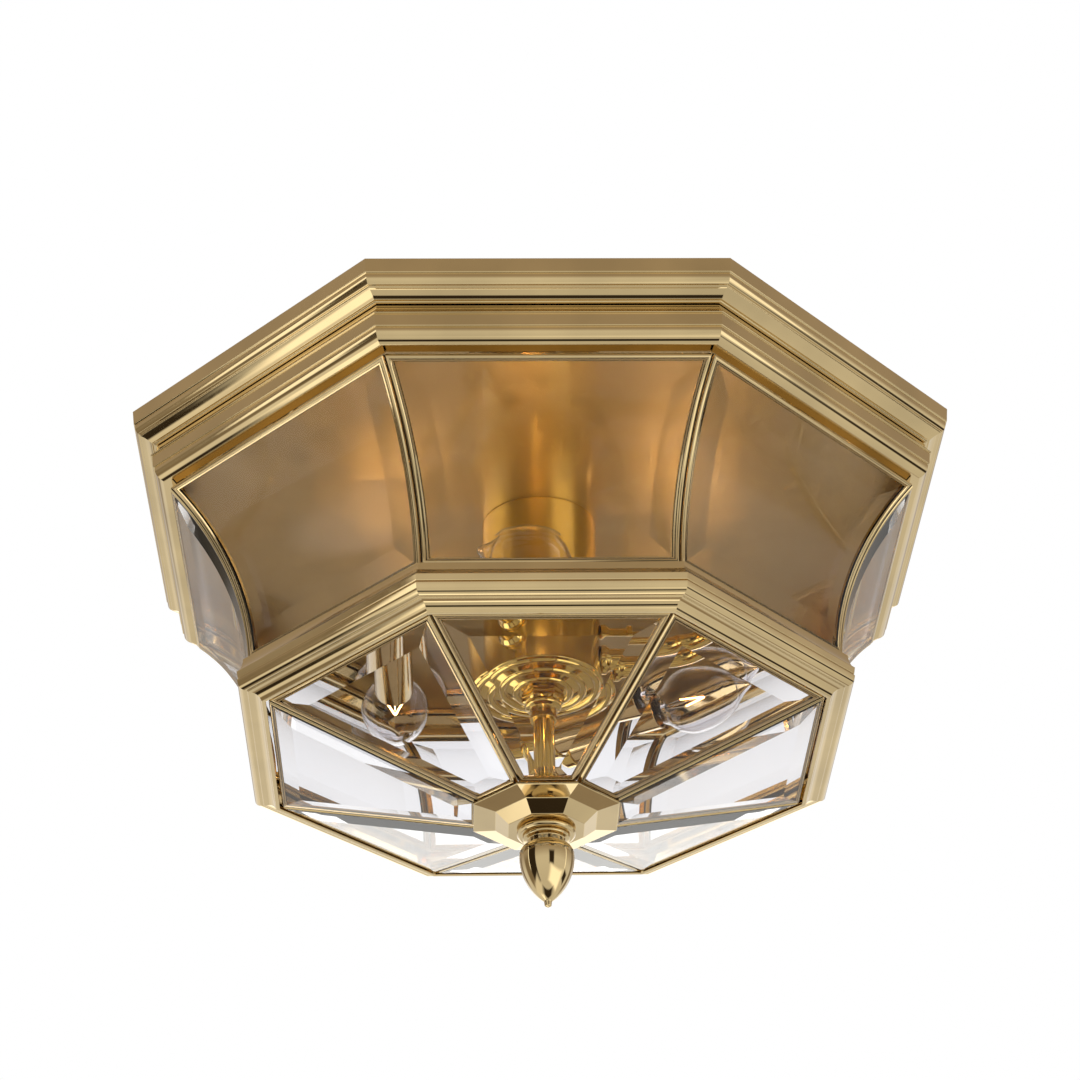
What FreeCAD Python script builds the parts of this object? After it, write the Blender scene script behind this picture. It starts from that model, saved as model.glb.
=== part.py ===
import FreeCAD, Part
import math
import os
import re
import Sketcher
from FreeCAD import Matrix, Placement, Rotation, Vector

# Outdoor ceiling light: an eight-sided glass cage in polished brass under a brass canopy.
# The origin is the centre of the ceiling plane, +Z is up, and everything hangs below it.
# Two flats of the octagon face the X axis and two face the Y axis. Lengths are millimetres.
# An apothem is the distance from the centre line to the middle of a flat side.

SIZES = {
    # Octagon and shared fits
    "sides": 8,
    "overrun": 5.0,
    "same_body_gap": 0.05,
    "sheet": 1.4,
    # Canopy moulding: fascia, ovolo and cove, each below and inside the last
    "crown_apothem": 190.5,
    "crown_wall": 1.6,
    "fascia_lean": 0.9,
    "fascia_depth": 7.0,
    "reveal": 0.6,
    "reveal_drop": 0.3,
    "ovolo_inset": 1.6,
    "ovolo_depth": 5.0,
    "ovolo_radius": 6.0,
    "cove_inset": 5.6,
    "cove_depth": 3.4,
    "cove_radius": 10.0,
    "shelf_drop": 0.8,
    "shelf_inset": 4.2,
    # Canopy pan and mounting hardware
    "pan_seat": 3.0,
    "pan_sheet": 1.2,
    "strap_length": 112.0,
    "strap_width": 20.0,
    "strap_sheet": 2.0,
    "box_screw_inset": 11.55,
    "box_screw_hole_radius": 2.4,
    "ground_screw_inset": 17.45,
    "ground_screw_radius": 1.9,
    "ground_head_radius": 4.0,
    "ground_head_height": 2.4,
    "pipe_radius": 4.9,
    "pipe_bore_radius": 3.1,
    "nut_corner_radius": 9.2,
    "nut_height": 4.4,
    # Canister and its ringed cap
    "canister_radius": 27.8,
    "canister_wall": 1.0,
    "canister_height": 86.2,
    "cap_rim": 1.0,
    "cap_sheet": 1.2,
    "cap_rim_drop": 1.8,
    "first_bead_share": 0.876,
    "second_bead_share": 0.506,
    "third_bead_share": 0.146,
    "bead_half": 1.7,
    "bead_crest": 0.6,
    "bead_height": 1.0,
    "cap_step": 1.4,
    "cap_nut_corner_radius": 10.0,
    "cap_nut_height": 6.4,
    "coupling_bead": 1.4,
    "coupling_bead_height": 2.4,
    "coupling_wall": 1.4,
    "coupling_height": 8.8,
    "pipe_in_coupling": 5.0,
    "rod_radius": 5.0,
    "rod_in_finial": 11.8,
    # Swirl arms, one straight run and one hook each
    "lamps": 3,
    "arm_rise": 13.0,
    "arm_radius": 3.9,
    "arm_inside": 5.8,
    "hook_start": 28.9,
    "hook_radius": 22.5,
    "hook_turn": 150.0,
    "hook_tail": 3.0,
    "collar_rim": 3.2,
    "collar_flange": 2.4,
    "collar_barrel_wall": 1.5,
    "collar_length": 15.0,
    "collar_ring_rim": 2.7,
    "collar_ring": 2.6,
    "arm_nut_corner_radius": 6.6,
    "arm_nut_height": 2.6,
    "arm_nut_seat": 1.3,
    # Thumb screws in the canister's wall
    "screw_rise": 15.0,
    "screw_radius": 1.85,
    "screw_inside": 3.2,
    "screw_reach": 22.7,
    "screw_collar": 1.35,
    "screw_collar_height": 2.7,
    "screw_ball_radius": 2.9,
    # Lamp holders: cup, sleeve, socket and screw shell, measured along the lamp
    "cup_base_wall": 2.3,
    "cup_wall": 1.1,
    "cup_floor": 4.5,
    "cup_shoulder_drop": 0.7,
    "cup_depth": 4.5,
    "sleeve_radius": 9.3,
    "sleeve_wall": 0.8,
    "mouth_past": 4.0,
    "socket_gap": 0.3,
    "socket_depth": 25.5,
    "socket_back": 19.0,
    "shell_wall": 0.4,
    "shell_bore_radius": 6.03,
    # Candelabra bulbs
    "thread_gap": 0.08,
    "contact_gap": 0.1,
    "contact_radius": 2.3,
    "contact_height": 2.0,
    "contact_cone": 4.4,
    "base_thread": 17.0,
    "neck_gap": 0.43,
    "throat_gap": 2.0,
    "throat_length": 13.0,
    "flare": 3.9,
    "flare_length": 10.0,
    "bulb_radius": 16.4,
    "swell_length": 12.0,
    "flame_length": 30.0,
    "tip_radius": 1.7,
    "tip_length": 2.0,
    "bulb_glass": 0.8,
    "swell_along_share": 0.45,
    "swell_out_share": 0.882,
    "low_flame_along_share": 0.34,
    "low_flame_out_share": 0.909,
    "high_flame_along_share": 0.7,
    "high_flame_out_share": 0.606,
    "stem_gap": 0.4,
    "stem_radius": 1.7,
    "stem_flare_length": 9.0,
    "stem_length": 14.0,
    # Top ring of the glass cage
    "nest_gap": 0.4,
    "lip_gap": 0.6,
    "lip_rise": 1.0,
    "neck_flange": 1.8,
    "bead_overhang": 2.6,
    "neck_cove_depth": 5.4,
    "neck_cove_radius": 6.5,
    "cage_lean": 1.1,
    "cage_fascia_depth": 6.4,
    "toe_inset": 4.9,
    "toe_depth": 6.5,
    "toe_round": 6.4,
    "cage_sill": 6.2,
    # Curved upper glass and its came frames
    "upper_seat": 2.0,
    "upper_drop": 1.0,
    "upper_glass_run": 39.4,
    "upper_glass_drop": 84.5,
    "upper_curve_radius": 128.0,
    "pane_thickness": 4.0,
    "pane_edge": 1.8,
    "upper_bevel": 12.0,
    "pane_inset": 1.4,
    "came_width": 3.5,
    "came_back": 1.2,
    "came_lip": 1.6,
    "came_chamfer": 1.1,
    "mitre_gap": 0.15,
    # Band ring between the two rows of glass
    "band_gap": 0.2,
    "band_sill": 1.8,
    "band_top_lip": 4.8,
    "band_swell": 1.7,
    "band_swell_depth": 6.6,
    "band_cove_radius": 12.0,
    "band_fascia": 0.8,
    "band_groove": 0.7,
    "band_groove_depth": 3.6,
    "band_fascia_depth": 3.4,
    "band_foot_inset": 3.9,
    "band_foot_depth": 2.1,
    "band_foot_round": 4.6,
    "band_step_inset": 3.8,
    "band_step_depth": 0.5,
    "band_bottom_inset": 3.6,
    "band_bottom_depth": 3.4,
    "band_bottom_cove": 5.0,
    "band_mouth_lip": 1.8,
    # Flat bottom glass
    "lower_seat": 1.3,
    "lower_rise": 3.2,
    "lower_glass_drop": 31.4,
    "lower_bevel": 9.0,
    # Cast cap, check ring and finial
    "boss_apothem": 28.8,
    "boss_seat": 1.1,
    "boss_rise": 0.4,
    "boss_flare": 1.7,
    "boss_height": 4.1,
    "rim_flange": 2.6,
    "rim_lift": 0.8,
    "rim_height": 1.0,
    "tier_inset": 10.0,
    "tier_depth": 1.7,
    "cap_face_inset": 5.9,
    "cap_face_depth": 5.2,
    "cap_hole_gap": 0.5,
    "check_radius": 13.5,
    "check_height": 3.0,
    "check_chamfer": 1.0,
    "finial_gap": 0.06,
    "finial_bead_radius": 10.2,
    "finial_bead_height": 1.7,
    "finial_neck_radius": 8.8,
    "finial_neck_height": 2.8,
    "acorn_radius": 12.6,
    "acorn_shoulder": 5.2,
    "acorn_shoulder_round": 5.4,
    "acorn_length": 22.4,
    "acorn_round": 28.8,
    "nub_radius": 1.8,
    "nub_height": 3.0,
    "finial_bore_margin": 2.0,
}

# Places worked out from those sizes. Levels are below the ceiling, so they are negative.
FASCIA_FOOT = "-fascia_depth"
OVOLO_FOOT = FASCIA_FOOT + " - ovolo_depth"
COVE_FOOT = OVOLO_FOOT + " - cove_depth"
CANOPY_FOOT = COVE_FOOT + " - shelf_drop"
CANOPY_HEIGHT = "fascia_depth + ovolo_depth + cove_depth + shelf_drop"
FASCIA_OUT = "crown_apothem - fascia_lean"
OVOLO_OUT = FASCIA_OUT + " - reveal - ovolo_inset"
COVE_OUT = OVOLO_OUT + " - reveal - cove_inset"
SHELF_OUT = COVE_OUT + " - shelf_inset"
PAN_OUT = SHELF_OUT + " + pan_seat"
PAN_FACE = CANOPY_FOOT + " + sheet"
GROUND_SCREW_OUT = "0.5 * strap_length - box_screw_inset - ground_screw_inset"

CANISTER_FOOT = PAN_FACE + " - canister_height"
CAP_FOOT = CANISTER_FOOT + " - cap_rim_drop - 2 * cap_step"
NUT_FOOT = CAP_FOOT + " - cap_nut_height"
PIPE_FOOT = NUT_FOOT + " - pipe_in_coupling"
ARM_LEVEL = CANISTER_FOOT + " + arm_rise"
SCREW_LEVEL = ARM_LEVEL + " + screw_rise"

SOCKET_FLOOR = "cup_floor + socket_back"
SOCKET_MOUTH = SOCKET_FLOOR + " + socket_depth"
CONTACT = SOCKET_FLOOR + " + contact_gap"
BASE_SHOULDER = CONTACT + " + contact_height + contact_cone"
BASE_END = BASE_SHOULDER + " + base_thread"
THROAT = BASE_END + " + throat_length"
FLARE = THROAT + " + flare_length"
WIDEST = FLARE + " + swell_length"
TIP_START = WIDEST + " + flame_length"
SLEEVE_MOUTH = THROAT + " + mouth_past"
SLEEVE_BORE = "sleeve_radius - sleeve_wall"
BULB_NECK = "shell_bore_radius - neck_gap"
BULB_THROAT = SLEEVE_BORE + " - throat_gap"
BULB_FLARE = BULB_THROAT + " + flare"

NEST = CANOPY_FOOT + " - nest_gap"
CAGE_BEAD_FOOT = NEST + " - neck_cove_depth"
CAGE_FASCIA_FOOT = CAGE_BEAD_FOOT + " - cage_fascia_depth"
CAGE_RING_FOOT = CAGE_FASCIA_FOOT + " - toe_depth"
CAGE_NECK_OUT = SHELF_OUT + " + neck_flange"
CAGE_BEAD_OUT = CAGE_NECK_OUT + " + bead_overhang"
CAGE_TOE_OUT = CAGE_BEAD_OUT + " - cage_lean - reveal - toe_inset"
CAGE_SILL_OUT = CAGE_TOE_OUT + " - cage_sill"
UPPER_TOP = CAGE_RING_FOOT + " - upper_drop"
UPPER_TOP_OUT = CAGE_SILL_OUT + " + upper_seat"
UPPER_FOOT = UPPER_TOP + " - upper_glass_drop"
UPPER_FOOT_OUT = UPPER_TOP_OUT + " - upper_glass_run"

BAND_TOP = UPPER_FOOT + " - band_gap"
BAND_SWELL_FOOT = BAND_TOP + " - band_swell_depth"
BAND_GROOVE = BAND_SWELL_FOOT + " - band_groove_depth"
BAND_FASCIA_FOOT = BAND_GROOVE + " - band_fascia_depth"
BAND_FOOT = BAND_FASCIA_FOOT + " - band_foot_depth"
BAND_STEP = BAND_FOOT + " - band_step_depth"
BAND_BOTTOM = BAND_STEP + " - band_bottom_depth"
BAND_INNER_OUT = UPPER_FOOT_OUT + " - band_sill"
BAND_TOP_OUT = UPPER_FOOT_OUT + " + band_top_lip"
BAND_SWELL_OUT = BAND_TOP_OUT + " + band_swell"
BAND_FASCIA_OUT = BAND_SWELL_OUT + " + band_fascia"
BAND_FOOT_OUT = BAND_FASCIA_OUT + " - band_foot_inset"
BAND_STEP_OUT = BAND_FOOT_OUT + " - band_step_inset"
BAND_BOTTOM_OUT = BAND_STEP_OUT + " - band_bottom_inset"
BAND_MOUTH_OUT = BAND_BOTTOM_OUT + " - band_mouth_lip"

LOWER_TOP = BAND_BOTTOM + " + lower_rise"
LOWER_TOP_OUT = BAND_MOUTH_OUT + " - lower_seat"
LOWER_FOOT = LOWER_TOP + " - lower_glass_drop"
LOWER_FOOT_OUT = "boss_apothem + boss_seat"
BOSS_TOP = LOWER_FOOT + " + boss_rise"
BOSS_FOOT = BOSS_TOP + " - boss_height"
BOSS_FOOT_OUT = "boss_apothem + boss_flare"
RIM_TOP = BOSS_FOOT + " + rim_lift"
RIM_FOOT = RIM_TOP + " - rim_height"
RIM_OUT = BOSS_FOOT_OUT + " + rim_flange"
TIER_FOOT = RIM_FOOT + " - tier_depth"
TIER_OUT = RIM_OUT + " - tier_inset"
CAP_FACE = TIER_FOOT + " - cap_face_depth"
CAP_FACE_OUT = TIER_OUT + " - cap_face_inset"
CAP_HOLE = "rod_radius + cap_hole_gap"
FINIAL_TOP = CAP_FACE + " - check_height"
ROD_FOOT = FINIAL_TOP + " - rod_in_finial"
ACORN_TOP = FINIAL_TOP + " - finial_bead_height - finial_neck_height"

doc = FreeCAD.newDocument("CeilingLight")


# The sheet of driving dimensions and the small language that names them

def make_sheet():
    sheet = doc.addObject("Spreadsheet::Sheet", "Sizes")
    for row, (name, value) in enumerate(SIZES.items(), 1):
        sheet.set("A%d" % row, name)
        sheet.set("B%d" % row, str(value))
        sheet.setAlias("B%d" % row, name)
    doc.recompute()
    return sheet


sizes = make_sheet()


def amount(text):
    """The value of a sum of named sizes, such as 'rod_radius + finial_gap'."""
    total = 0.0
    for term in text.replace("-", "+-").split("+"):
        term = term.strip()
        if not term:
            continue
        product = -1.0 if term.startswith("-") else 1.0
        for factor in term.lstrip("- ").split("*"):
            factor = factor.strip()
            product *= float(sizes.get(factor)) if factor in SIZES else float(factor)
        total += product
    return total


def bound(text):
    """The same sum as an expression on the sheet's cells."""
    return re.sub(r"([a-z]\w*)", r"Sizes.\1", text)


def bind(feature, **texts):
    for name, text in texts.items():
        feature.setExpression(name.replace("__", "."), bound(text))


# Sketches from outlines of named sizes

def arc_edge(start, end, radius, turn):
    """An arc from start to end that turns left (turn = 1) or right (turn = -1)."""
    half = (end - start) * 0.5
    normal = Vector(-half.y, half.x, 0).normalize()
    rise = math.sqrt(max(radius ** 2 - half.Length ** 2, 0))
    centre = start + half + normal * rise * turn
    middle = centre - normal * radius * turn
    return middle


def draw(sketch, corners):
    """Closed outline: (x, y) ends a line, (x, y, radius, turn) ends an arc."""
    spots = [Vector(amount(corner[0]), amount(corner[1]), 0) for corner in corners]
    ends = []
    for index, corner in enumerate(corners):
        start, end = spots[index - 1], spots[index]
        if len(corner) == 2:
            edge = sketch.addGeometry(Part.LineSegment(start, end))
            ends.append((edge, 1, 2))
            continue
        middle = arc_edge(start, end, amount(corner[2]), corner[3])
        if corner[3] > 0:
            edge = sketch.addGeometry(Part.Arc(start, middle, end))
            ends.append((edge, 1, 2))
        else:
            edge = sketch.addGeometry(Part.Arc(end, middle, start))
            ends.append((edge, 2, 1))
        rule = sketch.addConstraint(Sketcher.Constraint("Radius", edge, amount(corner[2])))
        sketch.setExpression("Constraints[%d]" % rule, bound(corner[2]))
    for index, corner in enumerate(corners):
        edge, first, last = ends[index]
        before, unused, joint = ends[index - 1]
        sketch.addConstraint(Sketcher.Constraint("Coincident", before, joint, edge, first))
        for kind, text in (("DistanceX", corner[0]), ("DistanceY", corner[1])):
            rule = sketch.addConstraint(Sketcher.Constraint(kind, edge, last, amount(text)))
            sketch.setExpression("Constraints[%d]" % rule, bound(text))


def origin_part(body, role):
    return [part for part in body.Origin.OriginFeatures if part.Role == role][0]


def new_body(label, place=None):
    body = doc.addObject("PartDesign::Body", label)
    body.Label = label
    if place is not None:
        body.Placement = place
    return body


def new_sketch(body, name, role):
    sketch = body.newObject("Sketcher::SketchObject", name)
    sketch.AttachmentSupport = [(origin_part(body, role), "")]
    sketch.MapMode = "FlatFace"
    return sketch


def turned(label, corners, place=None):
    """A turned piece: its half section spun about its own Z axis."""
    body = new_body(label, place)
    sketch = new_sketch(body, "Section", "XZ_Plane")
    draw(sketch, corners)
    spin = body.newObject("PartDesign::Revolution", "Spin")
    spin.Profile = sketch
    spin.ReferenceAxis = (sketch, ["V_Axis"])
    spin.Angle = 360
    doc.recompute()
    return body


def circle_on(sketch, x_text, y_text, radius_text):
    centre = Vector(amount(x_text), amount(y_text), 0)
    ring = sketch.addGeometry(Part.Circle(centre, Vector(0, 0, 1), amount(radius_text)))
    rules = (("DistanceX", x_text), ("DistanceY", y_text))
    for kind, text in rules:
        rule = sketch.addConstraint(Sketcher.Constraint(kind, ring, 3, amount(text)))
        sketch.setExpression("Constraints[%d]" % rule, bound(text))
    rule = sketch.addConstraint(Sketcher.Constraint("Radius", ring, amount(radius_text)))
    sketch.setExpression("Constraints[%d]" % rule, bound(radius_text))


def cross_hole(body, name, level_text, radius_text, reach_text, count_text=None):
    """A hole along +X through a wall round the Z axis, repeated round that axis."""
    hole = body.newObject("PartDesign::SubtractiveCylinder", name)
    bind(hole, Radius=radius_text, Height=reach_text)
    hole.AttachmentSupport = [(origin_part(body, "YZ_Plane"), "")]
    hole.MapMode = "FlatFace"
    hole.setExpression("AttachmentOffset.Base.y", bound(level_text))
    doc.recompute()
    if count_text is None:
        return
    ring = body.newObject("PartDesign::PolarPattern", name + "Ring")
    ring.Originals = [hole]
    ring.Axis = (origin_part(body, "Z_Axis"), [""])
    ring.Angle = 360
    bind(ring, Occurrences=count_text)
    body.Tip = ring
    doc.recompute()


def moulding(label, corners):
    """A mitred octagonal ring: its section carried round the eight sides."""
    body = new_body(label)
    section = new_sketch(body, "Section", "XZ_Plane")
    draw(section, corners)
    path = new_sketch(body, "Path", "XY_Plane")
    octagon(path, corners[0][0])
    pipe = body.newObject("PartDesign::AdditivePipe", "Carry")
    pipe.Profile = section
    count = int(amount("sides"))
    pipe.Spine = (path, ["Edge%d" % (index + 1) for index in range(count)])
    pipe.Transition = "Right corner"
    doc.recompute()
    return body


def octagon(sketch, apothem_text):
    """Regular outline with the middle of a side on +X, held by its apothem."""
    count = int(amount("sides"))
    step = 2 * math.pi / count
    reach = amount(apothem_text) / math.cos(step / 2)
    spots = [Vector(reach * math.cos(step * (index + 0.5)), reach * math.sin(step * (index + 0.5)), 0)
             for index in range(count)]
    lines = [sketch.addGeometry(Part.LineSegment(spots[index - 1], spots[index])) for index in range(count)]
    spokes = ("%s / cos(180 deg / Sizes.sides)" % bound("(" + apothem_text + ")"))
    for index, line in enumerate(lines):
        sketch.addConstraint(Sketcher.Constraint("Coincident", lines[index - 1], 2, line, 1))
        for kind, turn in (("DistanceX", "cos"), ("DistanceY", "sin")):
            spot = spots[index].x if turn == "cos" else spots[index].y
            rule = sketch.addConstraint(Sketcher.Constraint(kind, line, 2, spot))
            angle = "%s(360 deg * %s / Sizes.sides)" % (turn, index + 0.5)
            sketch.setExpression("Constraints[%d]" % rule, spokes + " * " + angle)


def plain(label, shape, place=None):
    """A piece whose shape comes straight from the sheet's values."""
    piece = doc.addObject("Part::Feature", label)
    piece.Label = label
    piece.Shape = shape
    if place is not None:
        piece.Placement = place
    return piece


def about_z(turn, base=Vector(0, 0, 0)):
    return Placement(base, Rotation(Vector(0, 0, 1), turn))


def ring_of(label, source):
    """One copy of a shape for each lamp round the Z axis, kept as separate solids."""
    copies = []
    for index in range(int(amount("lamps"))):
        copy = source.Shape.copy()
        copy.Placement = about_z(lamp_turn(index)).multiply(copy.Placement)
        copies.append(copy)
    return plain(label, Part.makeCompound(copies))


# Canopy

def canopy_ring():
    return moulding("canopy_ring", [
        ("crown_apothem", "0"),
        (FASCIA_OUT, FASCIA_FOOT),
        (FASCIA_OUT + " - reveal", FASCIA_FOOT + " - reveal_drop"),
        (OVOLO_OUT, OVOLO_FOOT, "ovolo_radius", -1),
        (OVOLO_OUT + " - reveal", OVOLO_FOOT + " - reveal_drop"),
        (COVE_OUT, COVE_FOOT, "cove_radius", 1),
        (SHELF_OUT, CANOPY_FOOT),
        (SHELF_OUT, PAN_FACE),
        (PAN_OUT + " + same_body_gap", PAN_FACE),
        (FASCIA_OUT + " - reveal - crown_wall", FASCIA_FOOT),
        ("crown_apothem - crown_wall", "0"),
    ])


def octagon_block(name, apothem_text, foot_text, height_text):
    block = doc.addObject("Part::Prism", name)
    bind(block, Polygon="sides", Height=height_text)
    block.setExpression("Circumradius", "%s / cos(180 deg / Sizes.sides)" % bound("(" + apothem_text + ")"))
    block.setExpression("Placement.Base.z", bound(foot_text))
    block.Placement = Placement(Vector(0, 0, amount(foot_text)),
                                Rotation(Vector(0, 0, 1), 180.0 / amount("sides")))
    return block


def round_bar(name, radius_text, foot_text, height_text):
    bar = doc.addObject("Part::Cylinder", name)
    bind(bar, Radius=radius_text, Height=height_text)
    bar.setExpression("Placement.Base.z", bound(foot_text))
    return bar


def cut(label, base, tool):
    result = doc.addObject("Part::Cut", label)
    result.Label = label
    result.Base = base
    result.Tool = tool
    doc.recompute()
    return result


def canopy_pan():
    outside = octagon_block("PanOutside", PAN_OUT, PAN_FACE, CANOPY_HEIGHT + " - sheet")
    inside = octagon_block("PanInside", PAN_OUT + " - pan_sheet", PAN_FACE + " + pan_sheet",
                           CANOPY_HEIGHT + " + overrun")
    tray = cut("PanTray", outside, inside)
    hole = round_bar("PanHole", "pipe_radius + same_body_gap", CANOPY_FOOT + " - overrun",
                     CANOPY_HEIGHT + " + overrun")
    return cut("canopy_pan", tray, hole)


def mounting_strap():
    """A flat strap screwed to the box in the ceiling, with the pipe through its middle."""
    body = new_body("mounting_strap")
    sketch = new_sketch(body, "Outline", "XY_Plane")
    draw(sketch, [
        ("-0.5 * strap_length", "-0.5 * strap_width"),
        ("0.5 * strap_length", "-0.5 * strap_width"),
        ("0.5 * strap_length", "0.5 * strap_width"),
        ("-0.5 * strap_length", "0.5 * strap_width"),
    ])
    circle_on(sketch, "0", "0", "pipe_radius + same_body_gap")
    circle_on(sketch, "0.5 * strap_length - box_screw_inset", "0", "box_screw_hole_radius")
    circle_on(sketch, "-0.5 * strap_length + box_screw_inset", "0", "box_screw_hole_radius")
    circle_on(sketch, GROUND_SCREW_OUT, "0", "ground_screw_radius + same_body_gap")
    pad = body.newObject("PartDesign::Pad", "Bar")
    pad.Profile = sketch
    pad.Reversed = True
    bind(pad, Length="strap_sheet")
    doc.recompute()
    return body


def ground_screw():
    place = Placement(Vector(amount(GROUND_SCREW_OUT), 0, amount("-strap_sheet")), Rotation())
    return turned("ground_screw", [
        ("0", "strap_sheet"),
        ("0", "-ground_head_height"),
        ("ground_head_radius", "-ground_head_height"),
        ("ground_head_radius", "0"),
        ("ground_screw_radius", "0"),
        ("ground_screw_radius", "strap_sheet"),
    ], place)


def centre_pipe():
    return turned("centre_pipe", [
        ("pipe_bore_radius", "0"),
        ("pipe_bore_radius", PIPE_FOOT),
        ("pipe_radius", PIPE_FOOT),
        ("pipe_radius", "0"),
    ])


def hex_nut(name, corner_text, bore_text, foot_text, height_text):
    block = doc.addObject("Part::Prism", name + "Block")
    block.Polygon = 6
    bind(block, Circumradius=corner_text, Height=height_text)
    block.setExpression("Placement.Base.z", bound(foot_text))
    hole = round_bar(name + "Hole", bore_text, foot_text + " - overrun", height_text + " + 2 * overrun")
    return cut(name, block, hole)


def lock_nuts():
    """Three nuts on the centre pipe: under the strap, on the pan and under the canister's top."""
    bore = "pipe_radius + same_body_gap"
    strap_nut = hex_nut("StrapNut", "nut_corner_radius", bore, "-strap_sheet - nut_height", "nut_height")
    pan_nut = hex_nut("PanNut", "nut_corner_radius", bore, PAN_FACE + " + pan_sheet", "nut_height")
    top_nut = hex_nut("TopNut", "nut_corner_radius", bore, PAN_FACE + " - canister_wall - nut_height",
                      "nut_height")
    group = doc.addObject("Part::Compound", "lock_nuts")
    group.Label = "lock_nuts"
    group.Links = [strap_nut, pan_nut, top_nut]
    doc.recompute()
    return group


# Canister

def canister():
    body = turned("canister", [
        ("pipe_radius + same_body_gap", PAN_FACE),
        ("pipe_radius + same_body_gap", PAN_FACE + " - canister_wall"),
        ("canister_radius - canister_wall", PAN_FACE + " - canister_wall"),
        ("canister_radius - canister_wall", CANISTER_FOOT),
        ("canister_radius", CANISTER_FOOT),
        ("canister_radius", PAN_FACE),
    ])
    reach = "canister_radius + overrun"
    cross_hole(body, "ArmHole", ARM_LEVEL, "arm_radius + same_body_gap", reach, "lamps")
    cross_hole(body, "ScrewHole", SCREW_LEVEL, "screw_radius + same_body_gap", reach, "lamps")
    return body


def bead_out(share):
    """A bead's radius, between the nut's corners and the canister's wall."""
    return "cap_nut_corner_radius + %s * canister_radius - %s * cap_nut_corner_radius" % (share, share)


def canister_cap():
    """A spun disc whose face steps down through three beads to the nut's seat."""
    first = bead_out("first_bead_share")
    second = bead_out("second_bead_share")
    third = bead_out("third_bead_share")
    corners = [
        ("pipe_radius + same_body_gap", CAP_FOOT + " + cap_sheet"),
        ("pipe_radius + same_body_gap", CAP_FOOT),
    ]
    for step, bead in enumerate((third, second, first)):
        level = CAP_FOOT + " + %d * cap_step" % step
        corners.append((bead + " - bead_half", level))
        corners.append((bead + " - bead_crest", level + " - bead_height"))
        corners.append((bead + " + bead_crest", level + " - bead_height"))
        corners.append((bead + " + bead_half", level))
    return turned("canister_cap", corners + [
        ("canister_radius + cap_rim", CANISTER_FOOT + " - cap_sheet"),
        ("canister_radius + cap_rim", CANISTER_FOOT),
        (first, CANISTER_FOOT),
        (third, CAP_FOOT + " + cap_sheet"),
    ])


def cap_nut():
    return hex_nut("cap_nut", "cap_nut_corner_radius", "pipe_radius + same_body_gap", NUT_FOOT,
                   "cap_nut_height")


def coupling():
    """A turned coupling under the cap nut: the pipe ends in it and the lower rod starts in it."""
    pipe_bore = "pipe_radius + same_body_gap"
    rod_bore = "rod_radius + same_body_gap"
    neck = "pipe_radius + coupling_wall"
    return turned("rod_coupling", [
        (pipe_bore, NUT_FOOT),
        (pipe_bore, PIPE_FOOT),
        (rod_bore, PIPE_FOOT),
        (rod_bore, NUT_FOOT + " - coupling_height"),
        (neck, NUT_FOOT + " - coupling_height"),
        (neck, NUT_FOOT + " - coupling_bead_height - reveal"),
        (neck + " + coupling_bead", NUT_FOOT + " - coupling_bead_height"),
        (neck + " + coupling_bead", NUT_FOOT),
    ])


def rod():
    return turned("lower_rod", [
        ("pipe_bore_radius", PIPE_FOOT + " - same_body_gap"),
        ("pipe_bore_radius", ROD_FOOT),
        ("rod_radius", ROD_FOOT),
        ("rod_radius", PIPE_FOOT + " - same_body_gap"),
    ])


# Arms and lamps

def lamp_turn(index):
    return 360.0 * index / amount("lamps")


def swirl_arm(index):
    """A brass arm that leaves the canister level and hooks round to carry its lamp sideways."""
    place = about_z(lamp_turn(index), Vector(0, 0, amount(ARM_LEVEL)))
    body = new_body("arm_%d" % (index + 1), place)
    section = new_sketch(body, "Section", "YZ_Plane")
    section.setExpression("AttachmentOffset.Base.z", bound("canister_radius - arm_inside"))
    circle_on(section, "0", "0", "arm_radius")
    path = new_sketch(body, "Path", "XY_Plane")
    bend = amount("hook_radius")
    end = hook_end()
    way = lamp_way()
    tail = end + way * amount("hook_tail")
    corner = Vector(amount("canister_radius + hook_start"), 0, 0)
    centre = corner - Vector(0, bend, 0)
    middle = centre + Rotation(Vector(0, 0, 1), -0.5 * amount("hook_turn")).multVec(Vector(0, bend, 0))
    path.addGeometry(Part.LineSegment(Vector(amount("canister_radius - arm_inside"), 0, 0), corner))
    path.addGeometry(Part.Arc(corner, middle, end))
    path.addGeometry(Part.LineSegment(end, tail))
    pipe = body.newObject("PartDesign::AdditivePipe", "Tube")
    pipe.Profile = section
    pipe.Spine = (path, ["Edge1", "Edge2", "Edge3"])
    doc.recompute()
    return body


def hook_end():
    """Where the hook's bend ends, in the first arm's own level plane."""
    bend = amount("hook_radius")
    centre = Vector(amount("canister_radius + hook_start"), -bend, 0)
    return centre + Rotation(Vector(0, 0, 1), -amount("hook_turn")).multVec(Vector(0, bend, 0))


def lamp_way():
    """The direction in which the first arm's lamp points."""
    return Rotation(Vector(0, 0, 1), -amount("hook_turn")).multVec(Vector(1, 0, 0))


def lamp_place(index):
    """The frame of a lamp: its origin is the hook's end and its Z axis runs to the bulb's tip."""
    aim = Rotation(Vector(0, 0, 1), lamp_way())
    return about_z(lamp_turn(index)).multiply(Placement(hook_end() + Vector(0, 0, amount(ARM_LEVEL)), aim))


def along_x(level_text):
    return Placement(Vector(0, 0, amount(level_text)), Rotation(Vector(0, 1, 0), 90))


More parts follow.
